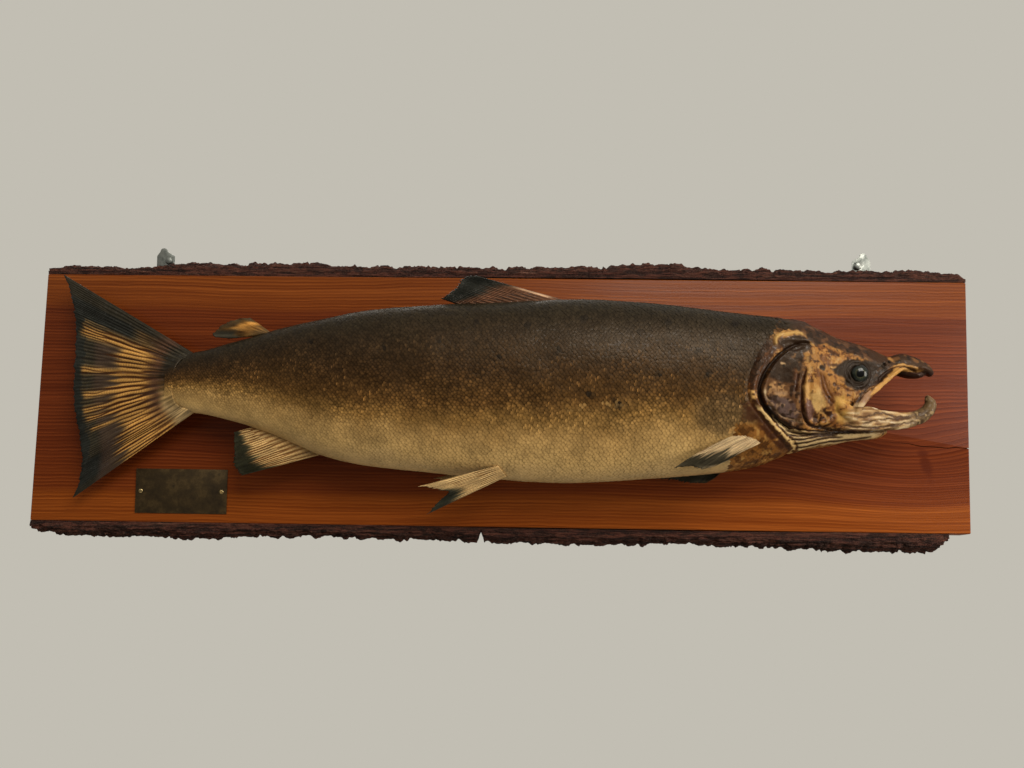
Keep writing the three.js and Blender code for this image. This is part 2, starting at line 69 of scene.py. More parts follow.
# ---- Fish skin ---------------------------------------------------------------------------------
# The tanned skin is one piece from the jaws to the root of the tail, stretched over a light filler
# and lacquered. It is shaped in millimetres from the stations of body, skull, throat and jaws, then
# worked on the head: gill cover, bones of the cheek, rays of the gill skin, orbit, lips and jaw.
MM = 0.001
GAP = 0.3
COAT_DEPTH = 1.0  # the skin lies this far inside the solids, as the scales stand on it
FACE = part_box("board")[0].y / MM  # y of the board's front
HEAD_DISTANCE = 52  # of the head's middle from the board
PLANE = FACE - HEAD_DISTANCE

# Stations of the body: [x, back, belly, half thickness, distance of the middle from the board].
BODY = [[-388, 38, -8, 9, 28], [-361, 50.5, -17.7, 15, 30], [-337, 56.3, -21.5, 17.5, 32],
        [-312, 63.4, -27, 20.5, 35], [-288, 69.3, -33, 24, 38], [-249, 80.9, -46, 31, 41.5],
        [-193, 92.8, -67, 39, 46], [-146, 101.2, -76.5, 45, 49], [-76, 107.6, -83, 50.5, 51],
        [4, 110.8, -90, 53.5, 52], [83, 115.6, -93, 54.5, 52.5], [162, 112.9, -87.5, 54.5, 52.5],
        [230, 106.2, -81.5, 52.5, 52.5], [286, 100, -73, 49, 52], [322, 96.5, -60, 45, 52]]
BODY_WIDEST = 0.53
BODY_ROUNDNESS = 0.92
# Stations of the skull: [x, top, underside, half width, height share of the widest place].
SKULL = [[282, 100, -30, 46, 0.44], [322, 96.3, -44, 46, 0.44], [343, 93.5, -46, 45.5, 0.44],
         [353, 88.5, -44, 44.5, 0.43], [365, 83, -38, 42.5, 0.42], [376, 77, -31, 40.5, 0.4],
         [386, 73, -20, 38.2, 0.38], [396, 70.5, -6, 35.2, 0.34], [404, 68.4, 3, 32, 0.3],
         [412, 66, 10.5, 28.8, 0.26], [421, 62.3, 16.5, 25, 0.24], [432, 57.2, 25.5, 21.4, 0.22],
         [440, 54.6, 32, 19, 0.2], [448, 57, 35.6, 17.4, 0.2], [456, 58.4, 36.4, 16.4, 0.22],
         [466, 55.4, 36.4, 14.8, 0.3], [475, 51.4, 35.2, 12.8, 0.36], [481.5, 48, 33.2, 10.6, 0.42],
         [486, 44.6, 31.2, 8, 0.48], [488.6, 41.5, 32, 5.4, 0.5], [489.6, 39, 34, 2.5, 0.5]]
SKULL_ROUNDNESS = 0.88
# Throat and mouth room: [x, top, underside, half width].
THROAT = [[312, -14, -56, 31], [330, -15, -56.5, 32], [343, -17, -52.5, 32], [358, -20, -50.5, 29.5],
          [375, -23, -46.5, 26], [392, -25, -42.2, 22], [408, -26, -40, 18], [425, -26.5, -38.5, 12],
          [436, -28, -33, 5]]
THROAT_WIDEST, THROAT_ROUNDNESS = 0.6, 0.85
MOUTH = [[362, -4, -9, 4], [376, 2, -15, 14], [392, 9, -19, 21], [404, 17, -20, 22],
         [416, 26, -20, 19.5], [428, 35, -19, 16], [440, 42.5, -18, 13], [454, 46, -14.5, 10.5],
         [468, 44.5, -9, 8], [479, 41, -1, 4.5]]
MOUTH_WIDEST, MOUTH_ROUNDNESS = 0.45, 0.7
# Bars of bone: [x, distance from the middle plane, z, half height, half breadth].
JAW_SIDE = [[350, 36, -18, 8, 4], [372, 34, -18.5, 11, 4.5], [392, 30.5, -18, 12, 4.8],
            [406, 27.5, -16.5, 14, 4.8], [420, 23, -17.8, 12.2, 4.6], [436, 18.5, -18, 11, 4.4],
            [452, 13, -17.5, 9.5, 4.4], [466, 7.5, -15.5, 8.5, 4.6]]
KYPE = [[450, 0, -20.5, 6.5, 10], [464, 0, -16.5, 8.2, 9.6], [475, 0, -12.5, 8.6, 8.4],
        [483, 0, -6.5, 8, 7.2], [486.2, 0, 1, 6.8, 6.2], [484.6, 0, 7, 4.8, 4.8],
        [482.8, 0, 10.6, 2.2, 2.6]]
LIP_BONE = [[387.5, 37.6, -10, 4.2, 2], [392.5, 36.8, -1, 6, 2.2], [400, 34.4, 7, 5.8, 2.2],
            [411, 30.6, 15.4, 4.8, 2], [422, 26.4, 23, 3.6, 1.8], [434, 22.8, 31, 2.6, 1.6],
            [446, 19.5, 38.5, 1.8, 1.4]]
PALATE = [[446, 0, 38, 2, 5], [453, 0, 36, 4, 8.5], [462, 0, 34.2, 4.8, 9.5], [470, 0, 33.8, 4.6, 9],
          [477, 0, 35, 3.8, 6.5], [482, 0, 37, 2, 3]]
MOUTH_CORNER = [[364, 37.5, 6, 3, 2], [371, 38.2, -1, 6, 3.4], [379, 37.6, -9, 7.5, 4],
                [386, 35.6, -17, 6, 4], [392, 33.5, -21, 2.5, 2]]
EYE = {"x": 395.2, "z": 32, "out": 26.6, "radius": 11.6, "flatness": 0.8, "turn": -4}
ORBIT_OUT, ORBIT_RADIUS, ORBIT_FLATNESS = 35.7, 13.6, 0.36
VOXEL = 1.0
SKIN_TRIANGLES = 192000


def column(table, index, x):
    """Smooth value of one column of a table of stations at each x."""
    rows = np.array(table, float)
    places, values = rows[:, 0], rows[:, index]
    last = len(places) - 1
    before = np.maximum(np.arange(last + 1) - 1, 0)
    after = np.minimum(np.arange(last + 1) + 1, last)
    slopes = (values[after] - values[before]) / (places[after] - places[before])
    x = np.clip(x, places[0], places[-1])
    i = np.clip(np.searchsorted(places, x, side="right") - 1, 0, last - 1)
    span = places[i + 1] - places[i]
    t = (x - places[i]) / span
    p, q = values[i], values[i + 1]
    m, n = slopes[i] * span, slopes[i + 1] * span
    return p + t * (m + t * (3 * (q - p) - 2 * m - n + t * (2 * (p - q) + m + n)))


def oval(x, turn, top, bottom, half, widest, distance, roundness):
    """Points of the ovals round the fish, turn running from 0 to 1 from the near side upwards."""
    across = np.cos(2 * math.pi * turn)
    up = np.sin(2 * math.pi * turn)
    middle = bottom + widest * (top - bottom)
    y = FACE - distance - half * np.sign(across) * np.abs(across) ** roundness
    z = middle + up * np.where(up > 0, top - middle, middle - bottom)
    return np.stack([x, np.minimum(y, FACE - GAP), z], axis=1)


def body_place(x, turn, inset=COAT_DEPTH):
    return oval(x, turn, column(BODY, 1, x) - inset, column(BODY, 2, x) + inset,
                column(BODY, 3, x) - inset, BODY_WIDEST, column(BODY, 4, x), BODY_ROUNDNESS)


def skull_place(x, turn):
    return oval(x, turn, column(SKULL, 1, x) - COAT_DEPTH, column(SKULL, 2, x) + COAT_DEPTH / 2,
                column(SKULL, 3, x) - COAT_DEPTH / 2, column(SKULL, 4, x), HEAD_DISTANCE, SKULL_ROUNDNESS)


def throat_place(x, turn):
    return oval(x, turn, column(THROAT, 1, x), column(THROAT, 2, x) + COAT_DEPTH / 2,
                column(THROAT, 3, x), THROAT_WIDEST, HEAD_DISTANCE, THROAT_ROUNDNESS)


def mouth_place(x, turn):
    return oval(x, turn, column(MOUTH, 1, x), column(MOUTH, 2, x), column(MOUTH, 3, x),
                MOUTH_WIDEST, HEAD_DISTANCE, MOUTH_ROUNDNESS)


def bar_places(table, side, share, turn, spare):
    """Points of a bar with an oval section that follows a table of stations."""
    rows = np.array(table, float)
    along = share * (len(rows) - 1)
    numbered = np.column_stack([np.arange(len(rows)), rows])
    x, out, z, high, broad = (column(numbered, k, along) for k in range(1, 6))
    rise = column(numbered, 3, along + 0.05) - column(numbered, 3, along - 0.05)
    run = column(numbered, 1, along + 0.05) - column(numbered, 1, along - 0.05)
    length = np.hypot(rise, run)
    up = np.sin(2 * math.pi * turn) * (high - spare)
    across = np.cos(2 * math.pi * turn) * (broad - spare)
    return np.stack([x - up * rise / length, PLANE + side * out + across, z + up * run / length], axis=1)


def grid_piece(name, columns, rows, surface, tint=None):
    """A grid bent by surface(u, v) into a shell. Its seams are merged, and its open ends closed."""
    form = bmesh.new()
    bmesh.ops.create_grid(form, x_segments=columns, y_segments=rows, size=0.5)
    shares = np.array([vert.co[:2] for vert in form.verts]) + 0.5
    for vert, place in zip(form.verts, surface(shares[:, 0], shares[:, 1]) * MM):
        vert.co = place
    if tint:
        layer = form.verts.layers.float_color.new("marking")
        for vert, colour in zip(form.verts, tint(shares[:, 0], shares[:, 1])):
            vert[layer] = (*colour, 1)
    bmesh.ops.remove_doubles(form, verts=form.verts, dist=1e-6)
    bmesh.ops.holes_fill(form, edges=form.edges, sides=0)
    bmesh.ops.recalc_face_normals(form, faces=form.faces)
    return finished(form, name)


def finished(form, name):
    """Turns a form into a piece of the scene."""
    mesh = bpy.data.meshes.new(name)
    form.to_mesh(mesh)
    form.free()
    piece = bpy.data.objects.new(name, mesh)
    bpy.context.collection.objects.link(piece)
    return piece


def loft(name, place, first, last, step, around):
    """A shell of the ovals that place() gives from the first x to the last."""
    rows = round((last - first) / step)
    return grid_piece(name, around, rows, lambda u, v: place(first + (last - first) * v, u))


def bar(name, table, side, spare, around, rows):
    return grid_piece(name, around, rows, lambda u, v: bar_places(table, side, v, u, spare))


def settle(piece):
    """Replaces a piece's mesh by what its modifiers make of it."""
    graph = bpy.context.evaluated_depsgraph_get()
    mesh = bpy.data.meshes.new_from_object(piece.evaluated_get(graph))
    piece.modifiers.clear()
    piece.data = mesh


def cut(piece, tool):
    """Takes a tool's shape out of a piece, and removes the tool."""
    modifier = piece.modifiers.new("cut", "BOOLEAN")
    modifier.operation = "DIFFERENCE"
    modifier.object = tool
    settle(piece)
    bpy.data.objects.remove(tool)


def joined(name, parts):
    """Several pieces put into one mesh."""
    form = bmesh.new()
    for part in parts:
        form.from_mesh(part.data)
        bpy.data.objects.remove(part)
    return finished(form, name)


def eye_ball(side, out, radius, flatness, segments):
    """A flattened ball in the place of an eye, turned with it."""
    form = bmesh.new()
    place = Vector((EYE["x"] * MM, (PLANE + side * out) * MM, EYE["z"] * MM))
    turn = Matrix.Rotation(math.radians(-side * EYE["turn"]), 4, "Z")
    bmesh.ops.create_uvsphere(form, u_segments=segments, v_segments=segments // 2, radius=radius * MM)
    bmesh.ops.scale(form, verts=form.verts, vec=(1, flatness, 1))
    bmesh.ops.transform(form, verts=form.verts, matrix=Matrix.Translation(place) @ turn)
    return form


skull = loft("skull", skull_place, 290, 490.5, 2, 96)
throat = loft("throat", throat_place, 312, 436, 2.5, 64)
for hollowed in (skull, throat):
    cut(hollowed, loft("mouth", mouth_place, 362, 479, 2.5, 48))
parts = [loft("body", body_place, -388, 322, 4, 160), skull, throat,
         bar("palate", PALATE, 0, 0, 24, 24), bar("kype", KYPE, 0, COAT_DEPTH / 2, 40, 44)]
for side in (-1, 1):
    cut(skull, finished(eye_ball(side, ORBIT_OUT, ORBIT_RADIUS, ORBIT_FLATNESS, 40), "orbit"))
    parts += [bar("jaw", JAW_SIDE, side, 0.4, 32, 44), bar("lip", LIP_BONE, side, 0, 24, 40),
              bar("corner", MOUTH_CORNER, side, 0, 24, 30)]
skin = joined("fish_skin", parts)
remesh = skin.modifiers.new("one skin", "REMESH")
remesh.mode = "VOXEL"
remesh.voxel_size = VOXEL * MM
soften = skin.modifiers.new("soften", "SMOOTH")
soften.iterations = 4
settle(skin)
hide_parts("trunk", "tail_stem", "head", "lower_jaw", "throat", "gill_cover_right",
            "gill_cover_left", "lip_bone_right", "lip_bone_left")


def ease(low, high, value):
    """0 up to low, 1 from high on, and smooth between them."""
    share = np.clip((value - low) / (high - low), 0, 1)
    return share * share * (3 - 2 * share)


def hump(value, middle, width):
    """1 at the middle, and falling away on both sides."""
    return np.exp(-(((value - middle) / width) ** 2))


def noise(places, size, seed):
    """Smooth numbers from -1 to 1 that vary over the given size, the same on each run."""
    spread = places / size + 1000.5 + 17.3 * seed
    cell = np.floor(spread).astype(np.int64)
    share = spread - cell
    share = share * share * (3 - 2 * share)
    total = np.zeros(len(places))
    for corner in itertools.product((0, 1), repeat=3):
        mixed = (cell + corner) @ np.array([73856093, 19349663, 83492791]) + seed * 977
        mixed = ((mixed ^ (mixed >> 13)) * 1274126177) & 0x7FFFFFFF
        value = ((mixed ^ (mixed >> 11)) & 0xFFFF) / 32767.5 - 1
        total += value * np.prod(np.where(corner, share, 1 - share), axis=1)
    return total


def curve(points):
    """A smooth line through points, as closely spaced points."""
    rows = np.column_stack([np.arange(len(points)), np.array(points, float)])
    along = np.linspace(0, len(points) - 1, 4 * (len(points) - 1) + 1)
    return np.stack([column(rows, 1, along), column(rows, 2, along)], axis=1)


def from_line(x, z, line):
    """How far each point is from a line, above 0 to the left of its travel, and its share along it."""
    nearest = np.full(len(x), np.inf)
    side = np.ones(len(x))
    share = np.zeros(len(x))
    for k in range(len(line) - 1):
        (ax, az), (bx, bz) = line[k], line[k + 1]
        dx, dz = bx - ax, bz - az
        t = np.clip(((x - ax) * dx + (z - az) * dz) / (dx * dx + dz * dz), 0, 1)
        distance = np.hypot(x - ax - t * dx, z - az - t * dz)
        closer = distance < nearest
        nearest[closer] = distance[closer]
        side[closer] = np.where(dx * (z - az) - dz * (x - ax) >= 0, 1, -1)[closer]
        share[closer] = (k + t[closer]) / (len(line) - 1)
    return nearest * side, share


def stroke(x, z, points, width):
    """1 on a line and falling away over its width, with tapered ends."""
    away, share = from_line(x, z, curve(points))
    return hump(away, 0, width) * ease(-0.06, 0.08, share) * ease(1.06, 0.92, share)


def patch(x, z, points, soft):
    """1 inside a closed outline and 0 outside it, with a soft edge."""
    ring = np.array(points + points[:1], float)
    inside = np.zeros(len(x), bool)
    for (ax, az), (bx, bz) in zip(ring[:-1], ring[1:]):
        if az != bz:
            crosses = (az > z) != (bz > z)
            inside ^= crosses & (x < (bx - ax) * (z - az) / (bz - az) + ax)
    away = np.abs(from_line(x, z, ring)[0])
    return ease(-soft, soft, np.where(inside, away, -away))


def blob(x, z, middle, radii):
    """1 in the middle of an oval patch, falling to 0 past its radii."""
    away = np.hypot((x - middle[0]) / radii[0], (z - middle[1]) / radii[1])
    return ease(1.25, 0.6, away)


# Lines of the head seen from the side, in X and Z.
COVER_EDGE = [(344, 61), (335, 63), (325, 60.5), (314, 54.5), (304.5, 46.5), (296, 37), (289, 25),
              (284.8, 12.3), (286.2, 1.7), (291.5, -6.8), (300.4, -16.2), (312, -23.5), (324, -29.7),
              (336, -32.5), (348, -33)]
COVER_SEAM = [(289.4, 7), (292.5, -1.4), (299.9, -9.8), (310.4, -16.1), (320.9, -19.1), (331.4, -22.2)]
SHOULDER_RIM = [(290, 58), (280.5, 39), (275, 25), (273, 10), (278, -2.7), (288.6, -15.3),
                (302, -30), (314.8, -40.4), (325, -50.5)]
CHEEK_GROOVE = [(333, 34), (330.4, 25.7), (328.8, 17), (328.6, 6.5), (329, -4.2), (331.2, -12.6),
                (334.5, -20), (339.5, -24), (347, -26.2), (357.4, -24.5), (365, -19)]
SHORT_GROOVE = [(324.1, 30), (323, 22.4), (321.9, 15), (320.8, 10.6)]
CHEEK_WRINKLES = [[(347.5, 32.7), (349.6, 26.3), (350.6, 17.7), (353.7, 10.2), (357.8, 3.9), (363, -0.4)],
                  [(351.7, 29.5), (353.8, 22), (356.9, 13.5), (361, 6)],
                  [(364, 18), (371.5, 19), (376.8, 15), (382, 12.8), (390.6, 14)],
                  [(370, 25), (380, 21.5), (390, 19.5), (401, 20.5)]]
TEMPLE_RIM = [(303.5, 61), (304, 68), (309.5, 73.4), (320, 75.4), (330, 76), (336, 74.5)]
LIP_BACK = [(385.5, -16), (387, -7.3), (390.6, 1.4), (397, 10), (404.8, 16.7), (415.5, 22),
            (423.2, 30), (431.8, 36), (440.5, 41)]
LIP_RIM = [(404.7, 8.5), (414.4, 13.6), (423, 19.1), (431.7, 27.9), (439.3, 35.6), (450, 38.2),
           (460.8, 36.4), (471, 32.5)]
LIP_FOLD = [(436.2, 40), (444.8, 43.4), (455.5, 42.8), (467, 39.5)]
JAW_STREAKS = [[(389, -16), (402, -14.7), (418, -10), (434, -13.2), (452, -14), (466, -10.6)],
               [(396.5, -22.3), (412.7, -18.8), (428.8, -16.5), (444.8, -16.3), (458.8, -14)],
               [(372, -24), (395, -26), (420, -25.5), (445, -21.5), (463, -18.5)]]
JAW_UNDERLINE = [(351.4, -27.2), (364.3, -28.1), (385.7, -30), (407, -30.8), (423, -29.8), (441, -26)]
GILL_SKIN_TOP = [(296, -12), (304, -19.5), (316, -26.5), (330, -30), (347, -30.5), (368, -31.3),
                 (400, -31.8), (428, -30)]
GILL_SKIN_FOOT = [(322, -54), (329, -53), (344, -49), (366, -45), (392, -42), (413, -39.5), (437, -31.5)]
GILL_RAYS = [[(308.6, -19.3), (321.2, -26.6), (342.2, -30.5), (368.6, -31.2), (400.1, -30.8)],
             [(314.4, -29.8), (327.1, -32.9), (348.2, -33.6), (379.9, -32.2), (416.8, -29.6)],
             [(318, -35.4), (330, -36.3), (349, -34.8), (372, -33.8)],
             [(321.5, -40.2), (334, -39.8), (352, -36.4), (371, -35.3)],
             [(324.5, -45), (338.3, -43), (357.4, -38.6), (378, -36.8)],
             [(328.4, -49.6), (344.3, -46.6), (365.6, -41.9), (392.1, -39.5), (413.3, -36)]]
NOSTRILS = [(427.5, 43.6, 1.9), (433.4, 46.4, 1.4)]
EYE_LOOK = (392.4, 32)  # where the eye shows from the side


def gill_skin(x, z):
    """1 on the rayed skin under the jaw, and 0 off it."""
    top, foot, rear = (from_line(x, z, curve(line))[0]
                       for line in (GILL_SKIN_TOP, GILL_SKIN_FOOT, SHOULDER_RIM))
    share = ease(0, 1.2, -top) * ease(-1.5, 1.5, foot) * ease(436, 415, x)
    return share * ease(5.5, 8, rear) * (x > 296)


def head_relief(x, z):
    """How far the bones, folds and grooves of the head stand out, in millimetres."""
    inside, edge_share = from_line(x, z, curve(COVER_EDGE))
    whole = ease(-0.02, 0.07, edge_share) * ease(1.02, 0.93, edge_share)
    height = 2.7 * ease(-0.5, 0.9, inside) * (1 - 0.8 * ease(3, 38, inside)) * ease(352, 334, x)
    height -= 2.9 * hump(inside, -2.2, 1.7) * whole
    height += 0.5 * hump(inside, 1.4, 1) * whole
    height -= 1.6 * stroke(x, z, [(292, -4.5), (299, -13.5), (309.7, -23.5), (318, -28.5)], 2.6)
    height -= 1.0 * stroke(x, z, COVER_SEAM, 1.0)
    rim, rim_share = from_line(x, z, curve(SHOULDER_RIM))
    rim_whole = ease(-0.05, 0.1, rim_share) * ease(1.04, 0.92, rim_share)
    height += 1.7 * hump(rim, 2, 3.2) * rim_whole
    height -= 0.7 * hump(rim, -3.5, 1.6) * rim_whole
    height += 0.7 * hump(rim, 6.5, 1.1) * rim_whole
    groove, groove_share = from_line(x, z, curve(CHEEK_GROOVE))
    groove_whole = ease(-0.05, 0.1, groove_share) * ease(1.03, 0.85, groove_share)
    height -= 2.4 * hump(groove, 0, 1.2) * groove_whole
    height += 1.3 * hump(groove, 3.4, 2.2) * groove_whole
    height -= 0.9 * hump(groove, 8, 2) * groove_whole
    height -= 1.1 * stroke(x, z, SHORT_GROOVE, 1.2)
    for wrinkle in CHEEK_WRINKLES:
        height -= 0.65 * stroke(x, z, wrinkle, 0.9)
    height += 1.5 * stroke(x, z, TEMPLE_RIM, 2.3)
    height -= 1.6 * blob(x, z, (321, 61), (12, 6.5))
    height -= 1.2 * blob(x, z, (351, -14), (9, 5))
    height += 1.0 * blob(x, z, (336, -8), (3.4, 9))
    eye = np.hypot(x - EYE_LOOK[0], (z - EYE_LOOK[1]) * 1.08)
    height += 1.0 * hump(eye, 14.6, 1.7) - 0.7 * hump(eye, 12.2, 0.9)
    height += 0.8 * hump(eye, 10.4, 0.8)
    height -= 0.9 * blob(x, z, (399, 34), (32, 13)) * ease(10, 13, eye)
    height += 0.8 * stroke(x, z, [(372, 46), (384, 52), (398, 53), (412, 48.5), (424, 44)], 2.2)
    height -= 2.0 * stroke(x, z, LIP_BACK, 1.1)
    height += 1.0 * stroke(x, z, LIP_RIM, 1.3)
    height += 0.7 * stroke(x, z, LIP_FOLD, 1.1)
    height -= 0.9 * stroke(x, z, [(434, 38), (443, 40.8), (455, 39.8), (467, 36)], 0.8)
    for streak in JAW_STREAKS:
        height -= 0.9 * stroke(x, z, streak, 1.0)
    height -= 1.7 * stroke(x, z, JAW_UNDERLINE, 1.0)
    height += 0.8 * gill_skin(x, z)
    for ray in GILL_RAYS:
        height -= 1.7 * stroke(x, z, ray, 0.9)
    for nostril_x, nostril_z, radius in NOSTRILS:
        away = np.hypot(x - nostril_x, z - nostril_z) / radius
        height += 0.7 * hump(away, 1.5, 0.5) - 2.2 * hump(away, 0, 0.8)
    return height


def vectors(mesh, kind):
    """The places in millimetres, or the normals, of a mesh's vertices."""
    source, key = (mesh.vertices, "co") if kind == "places" else (mesh.vertex_normals, "vector")
    flat = np.empty(len(mesh.vertices) * 3)
    source.foreach_get(key, flat)
    return flat.reshape(-1, 3) / (MM if kind == "places" else 1)


# The relief is pressed into the head's flanks, and the rest of the skin only waves a little. The skin is
# then thinned out, except on the near side of the head.
places = vectors(skin.data, "places")
normals = vectors(skin.data, "normals")
flank = ease(0.12, 0.45, np.abs(normals[:, 1])) * (normals[:, 1] * (places[:, 1] - PLANE) > 0)
height = 0.55 * noise(places, 42, 1) + 0.3 * noise(places, 17, 2)
head = np.flatnonzero(places[:, 0] > 262)
spots = places[head]
height[head] += head_relief(spots[:, 0], spots[:, 2]) * flank[head]
height[head] += (0.28 * noise(spots, 5.5, 3) + 0.16 * noise(spots, 2.6, 4)) * ease(268, 290, spots[:, 0])
near_head = (places[:, 0] > 264) & (places[:, 1] < PLANE + 4) & (normals[:, 1] < 0.3)
places += normals * height[:, None]
places[:, 1] = np.minimum(places[:, 1], FACE - GAP)
skin.data.vertices.foreach_set("co", (places * MM).ravel())
rest = skin.vertex_groups.new(name="rest")
rest.add(np.flatnonzero(~near_head).tolist(), 1.0, "REPLACE")
thin = skin.modifiers.new("thin", "DECIMATE")
thin.ratio = SKIN_TRIANGLES / (2 * len(skin.data.polygons))
thin.vertex_group = "rest"
settle(skin)
skin.vertex_groups.clear()
skin.data.shade_smooth()

# The markings, which skin and scales share. Colours are written as they look, from 0 to 255, by the
# share of the height from belly to back.
BACK_TO_BELLY = [(0.0, (220, 190, 138)), (0.12, (208, 176, 118)), (0.24, (188, 154, 98)),
                 (0.34, (140, 108, 60)), (0.44, (92, 66, 34)), (0.6, (66, 47, 26)),
                 (0.78, (52, 40, 26)), (0.9, (48, 41, 29)), (1.0, (52, 48, 37))]
BODY_TONE, HEAD_TONE = np.array((0.77, 0.72, 0.64)), np.array((0.61, 0.54, 0.44))
# Dark spots of the body: [x, z, radius].
BODY_SPOTS = [(134, -6, 4.6), (128, -2, 2.6), (102, 5, 3.4), (-58, 61, 3), (70, 52, 3.4), (189, 85, 4.5),
              (6, 43, 3), (219, 54, 4.2), (155, 74, 3.4), (256, 59, 3.6), (176, 27, 3), (36, 80, 3.6),
              (-120, 55, 2.8), (-205, 62, 3), (228, 28, 3.4), (262, 84, 3.8), (98, 88, 4), (-20, 84, 3.4)]
# Pale patches where the scales are worn: [x, z, half length, half height].
WORN_PATCHES = [(134, -3, 11, 5), (121, -5, 8, 4), (97, -9, 8, 4), (80, -12, 5, 3)]


def linear(colour):
    """A colour from 0 to 255 as the light that it reflects."""
    share = np.array(colour, float) / 255
    return np.where(share <= 0.04045, share / 12.92, ((share + 0.055) / 1.055) ** 2.4)


def layer_on(colour):
    """A function that lays a shade over colours where a mask says."""
    def lay(shade, mask):
        colour[:] = colour + (np.array(shade, float) - colour) * np.clip(mask, 0, 1)[:, None]
    return lay


def marking(places, inward=None):
    """The colour of the skin at each place, as the light that it reflects."""
    x, z = places[:, 0], places[:, 2]
    foot, back = column(BODY, 2, x), column(BODY, 1, x)
    rise = (z - foot) / (back - foot)
    rise = rise + 0.035 * noise(places, 60, 25) + 0.03 * noise(places, 14, 26)
    rise = rise - 0.1 * ease(-120, -330, x) * ease(0, 0.5, rise) * ease(1, 0.6, rise)
    heights = [stop[0] for stop in BACK_TO_BELLY]
    shades = np.array([stop[1] for stop in BACK_TO_BELLY], float)
    colour = np.stack([np.interp(rise, heights, shades[:, k]) for k in range(3)], axis=1)
    colour *= (1 + 0.07 * noise(places, 30, 27) + 0.06 * noise(places, 8, 28))[:, None]
    lay = layer_on(colour)
    wx, wz = x + 1.2 * noise(places, 5, 21), z + 1.2 * noise(places, 5, 22)
    for spot_x, spot_z, radius in BODY_SPOTS:
        lay((24, 20, 16), 0.85 * ease(1.3, 0.6, np.hypot(wx - spot_x, wz - spot_z) / radius))
    for worn_x, worn_z, worn_length, worn_height in WORN_PATCHES:
        worn = blob(wx, wz, (worn_x, worn_z), (worn_length, worn_height))
        worn = worn * ease(-0.1, 0.4, noise(places, 2.4, 60))
        lay((176, 142, 88), 0.7 * worn)
    lay((150, 98, 42), 0.75 * blob(wx, wz, (303, -50), (30, 13)))
    lay((196, 170, 122), 0.8 * blob(wx, wz, (262, -56), (28, 12)))
    lay((84, 68, 48), 0.6 * blob(wx, wz, (246, -14), (34, 24)))
    lay((214, 168, 104), 0.8 * stroke(wx, wz, [(252, -33), (261, -27), (270, -20)], 4)
        * ease(-0.5, 0, noise(places, 3, 61)))
    head = np.flatnonzero(x > 258)
    facing = inward if inward is None else inward[head]
    colour[head] = head_marking(places[head], colour[head], facing)
    tone = BODY_TONE + (HEAD_TONE - BODY_TONE) * ease(268, 292, x)[:, None]
    return linear(np.clip(colour, 0, 255)) * tone


